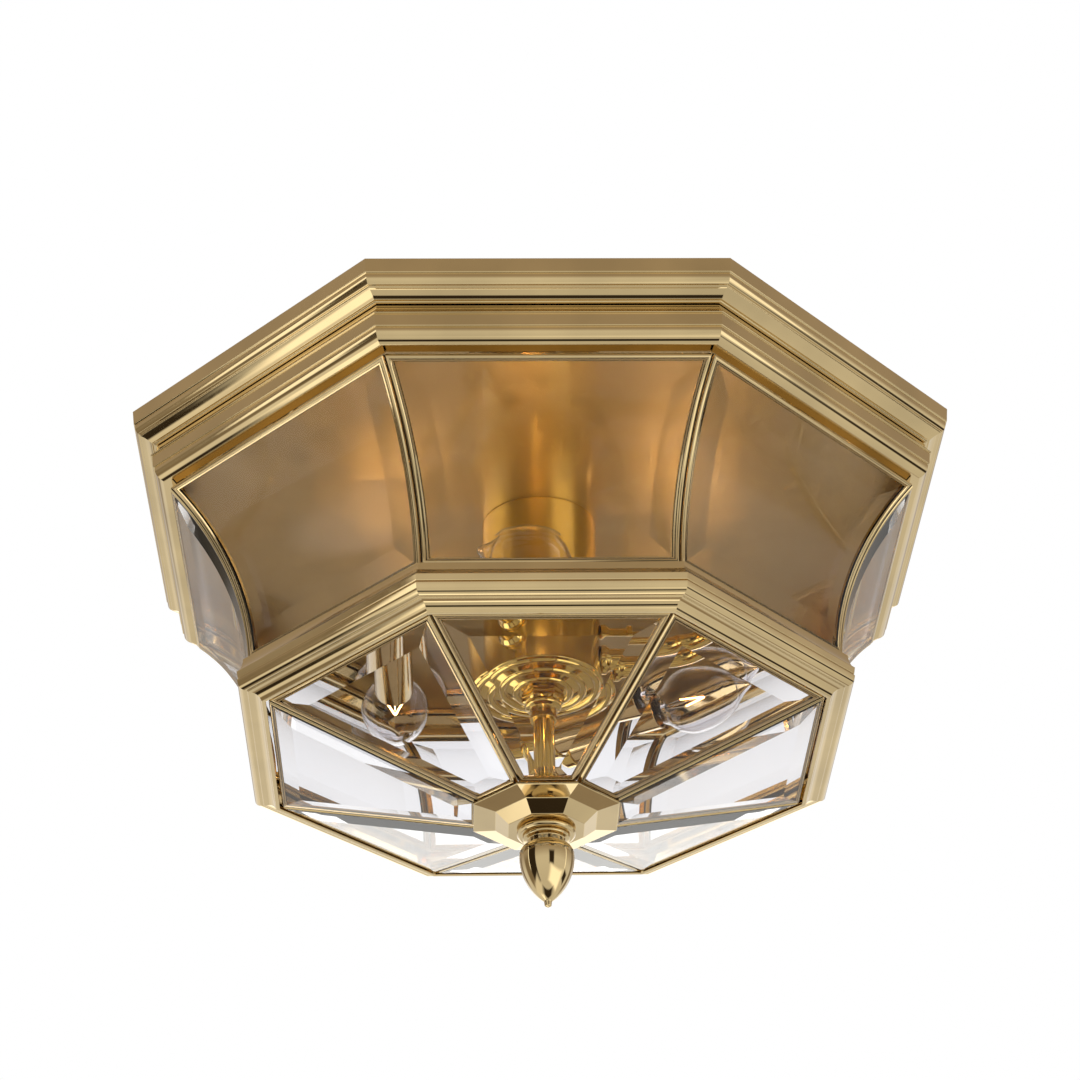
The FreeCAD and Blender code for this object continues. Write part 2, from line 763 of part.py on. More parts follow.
def arm_collars():
    """A flanged bushing on the canister's wall round each arm."""
    bore = "arm_radius + same_body_gap"
    wall = "canister_radius"
    one = turned("ArmCollar", [
        (bore, wall),
        ("arm_radius + collar_rim", wall),
        ("arm_radius + collar_rim", wall + " + collar_flange"),
        ("arm_radius + collar_barrel_wall", wall + " + 2 * collar_flange"),
        ("arm_radius + collar_barrel_wall", wall + " + collar_length - collar_ring"),
        ("arm_radius + collar_ring_rim", wall + " + collar_length - collar_ring"),
        ("arm_radius + collar_ring_rim", wall + " + collar_length"),
        (bore, wall + " + collar_length"),
    ], along_x(ARM_LEVEL))
    return ring_of("arm_collars", one)


def arm_nuts():
    """The nut on each arm's inner end, inside the canister."""
    foot = "canister_radius - canister_wall - arm_nut_seat - arm_nut_height"
    one = hex_nut("ArmNut", "arm_nut_corner_radius", "arm_radius + same_body_gap", foot, "arm_nut_height")
    one.Placement = along_x(ARM_LEVEL)
    doc.recompute()
    return ring_of("arm_nuts", one)


def canister_screws():
    """Slim screws with a collar on the canister's wall and a ball to turn them by."""
    end = "canister_radius + screw_reach"
    one = turned("CanisterScrew", [
        ("0", "canister_radius - screw_inside"),
        ("screw_radius", "canister_radius - screw_inside"),
        ("screw_radius", "canister_radius"),
        ("screw_radius + screw_collar", "canister_radius"),
        ("screw_radius", "canister_radius + screw_collar_height"),
        ("screw_radius", end),
        ("screw_ball_radius", end + " + screw_ball_radius"),
        ("0", end + " + 2 * screw_ball_radius"),
    ], along_x(SCREW_LEVEL))
    return ring_of("canister_screws", one)


def lamp_cups():
    """The cup on each arm's end, which the sleeve and the socket stand in."""
    one = turned("LampCup", [
        ("arm_radius + same_body_gap", "0"),
        ("arm_radius + cup_base_wall", "0"),
        ("sleeve_radius + cup_wall", "cup_floor - cup_shoulder_drop"),
        ("sleeve_radius + cup_wall", "cup_floor + cup_depth"),
        ("sleeve_radius + same_body_gap", "cup_floor + cup_depth"),
        ("sleeve_radius + same_body_gap", "cup_floor"),
        ("arm_radius + same_body_gap", "cup_floor"),
    ], lamp_place(0))
    return ring_of("lamp_cups", one)


def sleeve(index):
    return turned("sleeve_%d" % (index + 1), [
        (SLEEVE_BORE, "cup_floor"),
        ("sleeve_radius", "cup_floor"),
        ("sleeve_radius", SLEEVE_MOUTH),
        (SLEEVE_BORE, SLEEVE_MOUTH),
    ], lamp_place(index))


def socket(index):
    """The insulating socket body, open at the bulb's end."""
    return turned("socket_%d" % (index + 1), [
        ("0", "cup_floor"),
        (SLEEVE_BORE + " - socket_gap", "cup_floor"),
        (SLEEVE_BORE + " - socket_gap", SOCKET_MOUTH),
        ("shell_bore_radius + shell_wall + same_body_gap", SOCKET_MOUTH),
        ("shell_bore_radius + shell_wall + same_body_gap", SOCKET_FLOOR),
        ("0", SOCKET_FLOOR),
    ], lamp_place(index))


def screw_shells():
    """The metal screw shells, one pressed into each socket."""
    one = turned("ScrewShell", [
        ("shell_bore_radius", SOCKET_FLOOR),
        ("shell_bore_radius + shell_wall", SOCKET_FLOOR),
        ("shell_bore_radius + shell_wall", SOCKET_MOUTH),
        ("shell_bore_radius", SOCKET_MOUTH),
    ], lamp_place(0))
    return ring_of("screw_shells", one)


def bulb_base(index):
    """The screw base, with its contact at the bottom."""
    radius = "shell_bore_radius - thread_gap"
    return turned("bulb_%d_base" % (index + 1), [
        ("0", CONTACT),
        ("contact_radius", CONTACT),
        ("contact_radius", CONTACT + " + contact_height"),
        (radius, BASE_SHOULDER),
        (radius, BASE_END),
        ("0", BASE_END),
    ], lamp_place(index))


def bulb_glass(index):
    """A blown candle envelope, closed at the tip and open at the base, in straight runs."""
    low = WIDEST + " + low_flame_along_share * flame_length"
    high = WIDEST + " + high_flame_along_share * flame_length"
    swell = FLARE + " + swell_along_share * swell_length"
    walls = [
        (BULB_NECK, BASE_END),
        (BULB_THROAT, THROAT),
        (BULB_FLARE, FLARE),
        ("swell_out_share * bulb_radius", swell),
        ("bulb_radius", WIDEST),
        ("low_flame_out_share * bulb_radius", low),
        ("high_flame_out_share * bulb_radius", high),
    ]
    tip = [("tip_radius", TIP_START), ("0", TIP_START + " + tip_length"), ("0", TIP_START + " - tip_length")]
    inside = [(out + " - bulb_glass", along) for out, along in reversed(walls)]
    return turned("bulb_%d_glass" % (index + 1), walls + tip + inside, lamp_place(index))


def bulb_stem(index):
    """The glass stem inside, which holds the filament's wires."""
    waist = BASE_END + " + stem_flare_length"
    return turned("bulb_%d_stem" % (index + 1), [
        ("0", BASE_END),
        (BULB_NECK + " - bulb_glass - stem_gap", BASE_END),
        ("stem_radius", waist),
        ("stem_radius", waist + " + stem_length"),
        ("0", waist + " + stem_length"),
    ], lamp_place(index))


# Glass cage

def cage_top_ring():
    lip = SHELF_OUT + " - lip_gap"
    fascia = CAGE_BEAD_OUT + " - cage_lean"
    return moulding("cage_top_ring", [
        (lip, CANOPY_FOOT + " + lip_rise"),
        (lip, NEST),
        (CAGE_NECK_OUT, NEST),
        (CAGE_BEAD_OUT, CAGE_BEAD_FOOT, "neck_cove_radius", 1),
        (fascia, CAGE_FASCIA_FOOT),
        (fascia + " - reveal", CAGE_FASCIA_FOOT + " - reveal_drop"),
        (CAGE_TOE_OUT, CAGE_RING_FOOT, "toe_round", -1),
        (CAGE_SILL_OUT, CAGE_RING_FOOT),
        (CAGE_SILL_OUT, CAGE_RING_FOOT + " + sheet"),
        (CAGE_TOE_OUT + " - sheet", CAGE_RING_FOOT + " + sheet"),
        (fascia + " - reveal - sheet", CAGE_FASCIA_FOOT),
        (CAGE_BEAD_OUT + " - sheet", CAGE_BEAD_FOOT),
        (CAGE_NECK_OUT + " - sheet", NEST + " - sheet"),
        (lip + " - sheet", NEST + " - sheet"),
        (lip + " - sheet", CANOPY_FOOT + " + lip_rise"),
    ])


def band_ring():
    return moulding("band_ring", [
        (BAND_INNER_OUT, BAND_TOP),
        (BAND_TOP_OUT, BAND_TOP),
        (BAND_SWELL_OUT, BAND_SWELL_FOOT, "band_cove_radius", 1),
        (BAND_FASCIA_OUT, BAND_SWELL_FOOT + " - reveal_drop"),
        (BAND_FASCIA_OUT, BAND_GROOVE),
        (BAND_FASCIA_OUT + " - band_groove", BAND_GROOVE + " - 0.5 * band_groove"),
        (BAND_FASCIA_OUT, BAND_GROOVE + " - band_groove"),
        (BAND_FASCIA_OUT, BAND_FASCIA_FOOT),
        (BAND_FOOT_OUT, BAND_FOOT, "band_foot_round", -1),
        (BAND_STEP_OUT, BAND_STEP),
        (BAND_BOTTOM_OUT, BAND_BOTTOM, "band_bottom_cove", 1),
        (BAND_MOUTH_OUT, BAND_BOTTOM),
        (BAND_MOUTH_OUT, BAND_BOTTOM + " + sheet"),
        (BAND_STEP_OUT + " - 2 * sheet", BAND_STEP + " + sheet"),
        (BAND_FOOT_OUT, BAND_FOOT + " + sheet"),
        (BAND_FASCIA_OUT + " - 2 * sheet", BAND_GROOVE),
        (BAND_TOP_OUT + " - sheet", BAND_TOP + " - sheet"),
        (BAND_INNER_OUT, BAND_TOP + " - sheet"),
    ])


class CurvedSide:
    """Places on a curved pane: u runs down its inner face and n out through its thickness."""

    def __init__(self):
        top = Vector(amount(UPPER_TOP_OUT), 0, amount(UPPER_TOP))
        foot = Vector(amount(UPPER_FOOT_OUT), 0, amount(UPPER_FOOT))
        self.radius = amount("upper_curve_radius")
        half = (foot - top) * 0.5
        outward = Vector(-half.z, 0, half.x).normalize()
        rise = math.sqrt(self.radius ** 2 - half.Length ** 2)
        self.centre = top + half + outward * rise
        self.start = math.atan2(top.z - self.centre.z, top.x - self.centre.x)
        self.length = 2 * self.radius * math.asin(half.Length / self.radius)

    def spot(self, u, n):
        angle = self.start + u / self.radius
        reach = self.radius - n
        return self.centre + Vector(reach * math.cos(angle), 0, reach * math.sin(angle))

    def edge(self, first, last, n):
        middle = self.spot(0.5 * (first + last), n)
        return Part.Arc(self.spot(first, n), middle, self.spot(last, n)).toShape()

    def between(self, first, last):
        return Part.makeLoft([first, last], True, True)


class FlatSide:
    """Places on a flat pane, with u and n as on a curved one."""

    def __init__(self):
        self.top = Vector(amount(LOWER_TOP_OUT), 0, amount(LOWER_TOP))
        foot = Vector(amount(LOWER_FOOT_OUT), 0, amount(LOWER_FOOT))
        self.length = (foot - self.top).Length
        self.down = (foot - self.top).normalize()
        self.out = Vector(-self.down.z, 0, self.down.x).normalize()

    def spot(self, u, n):
        return self.top + self.down * u + self.out * n

    def edge(self, first, last, n):
        return Part.LineSegment(self.spot(first, n), self.spot(last, n)).toShape()

    def between(self, first, last):
        """A solid with flat faces between two outlines of straight edges."""
        near = [vertex.Point for vertex in first.OrderedVertexes]
        far = [vertex.Point for vertex in last.OrderedVertexes]
        faces = [Part.Face(first), Part.Face(last)]
        for index, corner in enumerate(near):
            loop = [near[index - 1], corner, far[index], far[index - 1], near[index - 1]]
            faces.append(Part.Face(Part.makePolygon(loop)))
        return Part.Solid(Part.makeShell(faces))


def section(side, first, last, back, face):
    """Closed outline in the middle plane of a side, from one place to another."""
    line = Part.LineSegment
    return Part.Wire([
        side.edge(first, last, back),
        line(side.spot(last, back), side.spot(last, face)).toShape(),
        side.edge(last, first, face),
        line(side.spot(first, face), side.spot(first, back)).toShape(),
    ])


def sloped_section(side, inset, back, face, edge_face, slope):
    """The same outline with its front sloping down to both ends."""
    first, last = inset, side.length - inset
    upper, lower = first + slope, last - slope
    line = Part.LineSegment
    return Part.Wire([
        side.edge(first, last, back),
        line(side.spot(last, back), side.spot(last, edge_face)).toShape(),
        line(side.spot(last, edge_face), side.spot(lower, face)).toShape(),
        side.edge(lower, upper, face),
        line(side.spot(upper, face), side.spot(first, edge_face)).toShape(),
        line(side.spot(first, edge_face), side.spot(first, back)).toShape(),
    ])


def at_mitre(wire, hand, inset):
    """An outline leaned from the middle of a side into a plane beside the mitre."""
    half_turn = math.pi / amount("sides")
    lean = Matrix()
    lean.A21 = hand * math.tan(half_turn)
    lean.A24 = -hand * inset / math.cos(half_turn)
    return Part.Wire(wire.transformGeometry(lean).Edges)


def octant(inset):
    """The space of one side, kept back from both its mitres."""
    half_turn = math.pi / amount("sides")
    reach = amount("crown_apothem")
    start = inset / math.sin(half_turn)
    spread = reach * math.tan(half_turn) - inset / math.cos(half_turn)
    corners = [Vector(start, 0, 0), Vector(reach, spread, 0), Vector(reach, -spread, 0), Vector(start, 0, 0)]
    return Part.Face(Part.makePolygon(corners)).extrude(Vector(0, 0, amount(CAP_FACE)))


def mitred_block(outline, from_mitre):
    """An outline drawn out along its side and cut off beside both mitres."""
    reach = amount("crown_apothem")
    bar = Part.Face(outline).extrude(Vector(0, 2 * reach, 0))
    bar.translate(Vector(0, -reach, 0))
    return bar.common(octant(from_mitre))


def side_slope(side, face, edge_face, slope, from_mitre, hand):
    """What is ground away from a block to slope its front down to a mitre."""
    past = amount("overrun")
    fall = (face - edge_face) / slope
    outer = section(side, -past, side.length + past, edge_face - fall * past, face + past)
    inner = section(side, -past, side.length + past, face + fall * past, face + past + fall * past)
    return side.between(at_mitre(outer, hand, from_mitre - past),
                        at_mitre(inner, hand, from_mitre + slope + past))


def bevelled_slab(side, inset, back, face, edge_face, slope):
    """A mitred slab with its front bevelled along all four edges."""
    from_mitre = amount("mitre_gap") + inset
    slab = mitred_block(sloped_section(side, inset, back, face, edge_face, slope), from_mitre)
    for hand in (-1, 1):
        slab = slab.cut(side_slope(side, face, edge_face, slope, from_mitre, hand))
    return slab


def pane_shape(side, bevel_text):
    return bevelled_slab(side, amount("pane_inset"), 0.0, amount("pane_thickness"),
                         amount("pane_edge"), amount(bevel_text))


def frame_shape(side, pane):
    """A came frame: a bar round the pane, grooved for the pane's edge."""
    front = amount("pane_edge + came_lip")
    past = amount("overrun")
    width = amount("came_width")
    bar = bevelled_slab(side, 0.0, -amount("came_back"), front, front - amount("came_chamfer"),
                        amount("came_chamfer"))
    window = section(side, width, side.length - width, -amount("came_back") - past, front + past)
    return bar.cut(mitred_block(window, amount("mitre_gap") + width)).cut(pane)


def glass_row(side, bevel_text, pane_name, frame_name):
    """Eight panes, each its own piece, and the row of eight frames round them."""
    pane = pane_shape(side, bevel_text)
    frame = frame_shape(side, pane)
    count = int(amount("sides"))
    pieces = []
    frames = []
    for index in range(count):
        turn = about_z(360.0 * index / count)
        pieces.append(plain("%s_%d" % (pane_name, index + 1), pane.copy(), turn))
        copy = frame.copy()
        copy.Placement = turn
        frames.append(copy)
    pieces.append(plain(frame_name, Part.makeCompound(frames)))
    return pieces


# Cap, check ring and finial

def octagon_wire(name, apothem_text, level_text):
    wire = doc.addObject("Part::RegularPolygon", name)
    bind(wire, Polygon="sides")
    wire.setExpression("Circumradius", "%s / cos(180 deg / Sizes.sides)" % bound("(" + apothem_text + ")"))
    wire.Placement = Placement(Vector(0, 0, amount(level_text)),
                               Rotation(Vector(0, 0, 1), 180.0 / amount("sides")))
    wire.setExpression("Placement.Base.z", bound(level_text))
    return wire


def cage_cap():
    """The cast cap under the glass: a boss inside, a thin rim and two tiers of facets."""
    tiers = [
        ("boss_apothem", BOSS_TOP),
        (BOSS_FOOT_OUT, BOSS_FOOT),
        (RIM_OUT, RIM_TOP),
        (RIM_OUT, RIM_FOOT),
        (TIER_OUT, TIER_FOOT),
        (CAP_FACE_OUT, CAP_FACE),
    ]
    loft = doc.addObject("Part::Loft", "CapBlock")
    loft.Sections = [octagon_wire("Tier%d" % index, *tier) for index, tier in enumerate(tiers)]
    loft.Solid = True
    loft.Ruled = True
    doc.recompute()
    height = "boss_height - rim_lift + rim_height + tier_depth + cap_face_depth"
    hole = round_bar("CapBore", CAP_HOLE, CAP_FACE + " - overrun", height + " + 2 * overrun")
    return cut("cage_cap", loft, hole)


def check_ring():
    """A turned ring with both its edges chamfered."""
    return turned("check_ring", [
        (CAP_HOLE, CAP_FACE),
        (CAP_HOLE, FINIAL_TOP),
        ("check_radius - check_chamfer", FINIAL_TOP),
        ("check_radius", FINIAL_TOP + " + check_chamfer"),
        ("check_radius", CAP_FACE + " - check_chamfer"),
        ("check_radius - check_chamfer", CAP_FACE),
    ])


def finial():
    """An acorn finial, bored and threaded for the lower rod."""
    widest = ACORN_TOP + " - acorn_shoulder"
    nub = widest + " - acorn_length"
    bore = "rod_radius + finial_gap"
    return turned("finial", [
        (bore, FINIAL_TOP),
        (bore, ROD_FOOT + " - finial_bore_margin"),
        ("0", ROD_FOOT + " - finial_bore_margin"),
        ("0", nub + " - nub_height"),
        ("nub_radius", nub),
        ("acorn_radius", widest, "acorn_round", 1),
        ("finial_neck_radius", ACORN_TOP, "acorn_shoulder_round", 1),
        ("finial_neck_radius", FINIAL_TOP + " - finial_bead_height"),
        ("finial_bead_radius", FINIAL_TOP + " - finial_bead_height"),
        ("finial_bead_radius", FINIAL_TOP),
    ])


def build():
    pieces = [canopy_ring(), canopy_pan(), mounting_strap(), ground_screw(), centre_pipe(), lock_nuts(),
              canister(), canister_cap(), cap_nut(), coupling(), rod(), arm_collars(), arm_nuts(),
              canister_screws(), lamp_cups(), screw_shells()]
    for index in range(int(amount("lamps"))):
        pieces += [swirl_arm(index), sleeve(index), socket(index)]
        pieces += [bulb_base(index), bulb_glass(index), bulb_stem(index)]
    pieces += [cage_top_ring(), band_ring(), cage_cap(), check_ring(), finial()]
    pieces += glass_row(CurvedSide(), "upper_bevel", "upper_pane", "upper_frames")
    pieces += glass_row(FlatSide(), "lower_bevel", "lower_pane", "lower_frames")
    return pieces


def check(pieces):
    doc.recompute()
    for item in doc.Objects:
        if "Invalid" in item.State or "Error" in item.State:
            raise RuntimeError("%s failed: %s" % (item.Label, item.State))
    for piece in pieces:
        if piece.Shape.isNull() or not piece.Shape.isValid() or not piece.Shape.Solids:
            raise RuntimeError("%s has no valid solid" % piece.Label)


def write(pieces):
    os.makedirs("parts", exist_ok=True)
    for piece in pieces:
        piece.Shape.exportStep("parts/%s.step" % piece.Label)


made = build()
check(made)
write(made)
print("%d pieces written" % len(made))
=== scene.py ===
"""Outdoor ceiling light: an octagonal glass cage in polished brass, dressed over its CAD frame."""

import math

import bmesh
import bpy
import numpy as np
from mathutils import Matrix, Vector


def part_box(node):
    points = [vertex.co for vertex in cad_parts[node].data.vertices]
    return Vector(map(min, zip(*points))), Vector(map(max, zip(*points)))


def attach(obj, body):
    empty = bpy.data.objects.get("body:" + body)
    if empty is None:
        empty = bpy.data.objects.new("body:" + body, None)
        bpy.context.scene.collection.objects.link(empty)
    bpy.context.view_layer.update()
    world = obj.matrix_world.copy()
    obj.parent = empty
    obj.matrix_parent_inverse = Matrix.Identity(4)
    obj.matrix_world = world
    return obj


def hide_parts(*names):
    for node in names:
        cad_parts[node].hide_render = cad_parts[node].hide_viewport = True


bl_info = {
    "name": "Octagonal Ceiling Light",
    "version": (1, 0, 0),
    "blender": (4, 5, 0),
    "location": "View3D > Sidebar > Ceiling Light",
    "description": "Builds the looks of an octagonal brass and glass ceiling light",
    "category": "Object",
}

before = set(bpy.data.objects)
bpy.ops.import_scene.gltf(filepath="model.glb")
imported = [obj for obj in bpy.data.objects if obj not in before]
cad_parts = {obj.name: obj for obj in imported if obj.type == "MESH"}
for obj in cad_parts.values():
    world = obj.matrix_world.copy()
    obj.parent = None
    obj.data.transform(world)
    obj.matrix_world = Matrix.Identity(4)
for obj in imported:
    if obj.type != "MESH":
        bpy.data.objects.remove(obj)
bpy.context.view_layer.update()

# The tables below are in millimetres in the CAD frame, with levels under the ceiling. Rings hold (apothem, level)
# and turned pieces (radius, level). Two more numbers end a row on an arc of that radius, turning left (1) or
# right (-1).
MM = 0.001
WELD = 2e-6  # metres between points that are merged
SIDES = 8
EIGHTH = math.tau / SIDES
HALF_MITRE = math.tan(EIGHTH / 2)

CROWN = [
    (190.5, 0), (189.7, -6.9), (188.9, -7.1), (189.0, -7.5), (187.5, -11.9, 6.0, -1), (186.4, -12.0),
    (186.3, -12.7), (181.2, -15.4, 10.0, 1), (180.3, -15.3), (180.0, -15.9), (177.0, -16.2), (177.0, -14.8),
    (180.05, -14.8), (187.4, -7.0), (188.9, 0),
]
CAGE_TOP = [
    (176.4, -15.2), (176.4, -16.6), (178.8, -16.6), (181.4, -22.0, 6.5, 1), (181.2, -22.3), (180.4, -22.4),
    (180.5, -22.9), (179.9, -28.3), (179.0, -28.4), (179.1, -28.9), (174.8, -34.9, 6.4, -1), (168.6, -34.9),
    (168.6, -33.5), (173.4, -33.5), (178.3, -28.4), (180.0, -22.0), (177.4, -18.0), (175.0, -18.0), (175.0, -15.2),
]
BAND = [
    (129.4, -120.6), (136.0, -120.6), (137.7, -127.2, 12.0, 1), (138.5, -127.5), (137.9, -130.8),
    (136.9, -131.1), (138.2, -131.5), (137.7, -133.9), (134.6, -136.3, 3.4, -1), (133.6, -136.2),
    (133.4, -136.7), (130.8, -136.8), (127.2, -140.2, 5.0, 1), (125.4, -140.2), (125.4, -138.8),
    (128.0, -135.4), (134.6, -134.9), (135.7, -130.8), (134.6, -122.0), (129.4, -122.0),
]
CAP = [
    (5.5, -168.0), (28.8, -168.0), (30.5, -172.1), (33.1, -171.3), (33.1, -172.3), (23.1, -174.0),
    (17.2, -179.2), (5.5, -179.2),
]
CANISTER = [
    (4.95, -14.8), (27.8, -14.8), (27.8, -101.0), (26.8, -101.0), (26.8, -15.8), (4.95, -15.8),
]
RINGED_CAP = [
    (4.95, -104.4), (12.6, -104.4), (25.6, -101.0), (28.8, -101.0), (28.8, -102.2), (27.4, -102.9),
    (23.8, -102.9, 1.9, -1), (20.8, -104.2), (17.2, -104.3, 1.9, -1), (14.4, -105.6),
    (10.9, -105.6, 1.9, -1), (4.95, -105.6),
]
COUPLING = [
    (5.05, -112.0), (7.7, -112.0), (7.7, -114.4, 1.25, -1), (6.3, -114.9), (6.1, -117.4), (6.3, -120.8),
    (5.05, -120.8),
]
CHECK_RING = [
    (5.5, -179.2), (12.5, -179.2), (13.5, -180.3), (13.5, -181.1), (12.5, -182.2), (5.5, -182.2),
]
FINIAL = [
    (5.06, -182.2), (10.2, -182.2), (10.2, -183.9, 0.87, -1), (8.8, -184.4), (8.8, -186.7),
    (12.6, -191.9, 5.4, -1), (1.8, -214.3, 28.8, -1), (1.5, -216.6), (0, -217.3),
]
# Pieces on the arms run along their own axis, out from the centre line or along the lamp.
COLLAR = [
    (3.95, 27.8), (7.1, 27.8), (7.1, 30.2), (5.4, 32.6), (5.4, 40.2), (6.6, 40.2), (6.6, 42.8), (3.95, 42.8),
]
WALL_SCREW = [
    (0, 24.6), (1.85, 24.6), (1.85, 27.8), (3.2, 27.8), (3.2, 29.2), (1.85, 30.5), (1.85, 50.8),
    (1.0, 55.9, 2.9, 1), (0, 56.3),
]
CUP = [
    (3.95, 0), (6.2, 0), (10.4, 3.8, 6.0, 1), (10.4, 9.0), (9.35, 9.0), (9.35, 4.5), (3.95, 4.5),
]
SLEEVE = [(8.5, 4.5), (9.3, 4.5), (9.3, 64.0), (8.5, 64.0)]
BULB = [
    (5.6, 47.0), (5.7, 50.0), (6.5, 60.0), (10.4, 70.0, 24.0, -1), (16.4, 82.4, 17.5, 1),
    (9.94, 103.0, 39.0, 1), (2.6, 111.4, 30.0, -1), (1.3, 113.6), (0, 114.0),
]
STEM = [
    (0, 47.0), (4.2, 47.0), (1.7, 56.5, 9.0, -1), (1.6, 66.0), (2.3, 68.4), (0, 70.0),
]

# Each arm runs straight out from the canister, then turns about HOOK_AT, all at one level.
HOOK_AT = np.array((56.7, -22.5))
HOOK_RADIUS = 22.5
HOOK_TURN = math.radians(150)
ARM_LEVEL = -88.0
ARM_RADIUS = 3.9
ARM_ROOT = 22.0
ARM_IN_CUP = 3.0
WALL_SCREW_LEVEL = -73.0
FILAMENT_AT = 84.0
LAMPS = 3


# Sizes and colours that a user would change

def srgb(code):
    """A hex colour such as C9A56A as the linear numbers that shaders take."""
    values = np.array([int(code[i:i + 2], 16) for i in (0, 2, 4)]) / 255
    return tuple(np.where(values <= 0.04045, values / 12.92, ((values + 0.055) / 1.055) ** 2.4)) + (1.0,)


def colour_property(name, description, code):
    return bpy.props.FloatVectorProperty(
        name=name, description=description, subtype="COLOR", size=4, min=0, max=1, default=srgb(code))


class LightSizes(bpy.types.PropertyGroup):
    arris: bpy.props.FloatProperty(
        name="Arris", description="Rounding of the mouldings' edges, as buffing leaves them",
        default=0.28 * MM, min=0, max=MM, unit="LENGTH", precision=5)
    pane_thickness: bpy.props.FloatProperty(
        name="Pane thickness", description="Thickness of the bevelled glass",
        default=4.0 * MM, min=2 * MM, max=6 * MM, unit="LENGTH", precision=5)
    bevel_angle: bpy.props.FloatProperty(
        name="Bevel angle", description="Slope of the ground bevels, which sets how far they shift what is behind",
        default=math.radians(7), min=math.radians(2), max=math.radians(14), subtype="ANGLE")
    upper_bevel: bpy.props.FloatProperty(
        name="Upper bevel", description="Width of the bevel round the curved panes",
        default=12.0 * MM, min=2 * MM, max=20 * MM, unit="LENGTH", precision=5)
    lower_bevel: bpy.props.FloatProperty(
        name="Lower bevel", description="Width of the bevel round the flat panes",
        default=10.0 * MM, min=2 * MM, max=15 * MM, unit="LENGTH", precision=5)
    thread_pitch: bpy.props.FloatProperty(
        name="Thread pitch", description="Pitch of the bulbs' screw bases",
        default=2.54 * MM, min=MM, max=4 * MM, unit="LENGTH", precision=5)
    bulb_wall: bpy.props.FloatProperty(
        name="Bulb wall", description="Thickness of the blown bulbs' glass",
        default=0.3 * MM, min=0.2 * MM, max=0.7 * MM, unit="LENGTH", precision=5)
    coil_radius: bpy.props.FloatProperty(
        name="Coil radius", description="Radius of the filaments' coil",
        default=0.34 * MM, min=0.1 * MM, max=MM, unit="LENGTH", precision=5)
    came_width: bpy.props.FloatProperty(
        name="Came width", description="Width of the brass channel round each pane",
        default=3.5 * MM, min=2 * MM, max=6 * MM, unit="LENGTH", precision=5)


class LightColours(bpy.types.PropertyGroup):
    brass: colour_property("Brass", "Polished and lacquered brass", "D9C08C")
    fitting_brass: colour_property("Fitting brass", "Brass of the canister, arms and lamp holders", "E4C264")
    satin_brass: colour_property("Satin brass", "Brushed brass of the reflector pan", "C0A674")
    sleeve: colour_property("Sleeve", "Brass of the candle sleeves", "D8BC84")
    glass: colour_property("Glass", "Tint of the bevelled glass", "FCFCFE")
    glow: colour_property("Glow", "Light of the filaments", "FFB566")
    floor: colour_property("Floor", "Studio floor", "E6E4E0")


# Meshes

def arc(start, end, radius, turn, steps):
    """Points after start on the circle of that radius through both ends, turning left (1) or right (-1)."""
    half = (end - start) / 2
    normal = np.array((-half[1], half[0])) / np.hypot(*half)
    centre = start + half + normal * turn * math.sqrt(max(radius ** 2 - half @ half, 0))
    first = math.atan2(start[1] - centre[1], start[0] - centre[0])
    last = math.atan2(end[1] - centre[1], end[0] - centre[0])
    angles = first + turn * (((last - first) * turn) % math.tau) * np.linspace(0, 1, steps + 1)[1:]
    return centre + radius * np.stack((np.cos(angles), np.sin(angles)), 1)


def outline(corners, steps=12):
    """An outline's points: (x, z) ends a straight run and (x, z, radius, turn) ends an arc."""
    points = [np.array(corners[0][:2], float)[None]]
    for corner in corners[1:]:
        end = np.array(corner[:2], float)
        points.append(arc(points[-1][-1], end, corner[2], corner[3], steps) if len(corner) > 2 else end[None])
    return np.concatenate(points)


def eased(points, radius, closed, steps=4):
    """The outline with each corner of over 14 degrees replaced by a curve between points near it on both runs:
    (1 - s)^2 A + 2 s (1 - s) P + s^2 B, where P is the corner. One more point on each run keeps the flats flat."""
    before, after = points - np.roll(points, 1, 0), np.roll(points, -1, 0) - points
    far, near = np.linalg.norm(before, axis=1), np.linalg.norm(after, axis=1)
    before, after = before / far[:, None], after / near[:, None]
    turn = np.arccos(np.clip((before * after).sum(1), -1, 1))
    reach = np.where(turn > math.radians(14), np.minimum(radius, 0.4 * np.minimum(far, near)), 0)
    if not closed:
        reach[[0, -1]] = 0
    s = np.linspace(0, 1, steps + 1)[None, :, None]
    start, end = (points - before * reach[:, None])[:, None], (points + after * reach[:, None])[:, None]
    curve = (1 - s) ** 2 * start + 2 * s * (1 - s) * points[:, None] + s ** 2 * end
    first = points - before * np.minimum(2 * reach, 0.49 * far)[:, None]
    last = points + after * np.minimum(2 * reach, 0.49 * near)[:, None]
    curve = np.concatenate((first[:, None], curve, last[:, None]), 1).reshape(-1, 2)
    keep = np.linalg.norm(curve - np.roll(curve, 1, 0), axis=1) > 1e-5
    keep[0] = keep[0] or not closed
    return curve[keep]


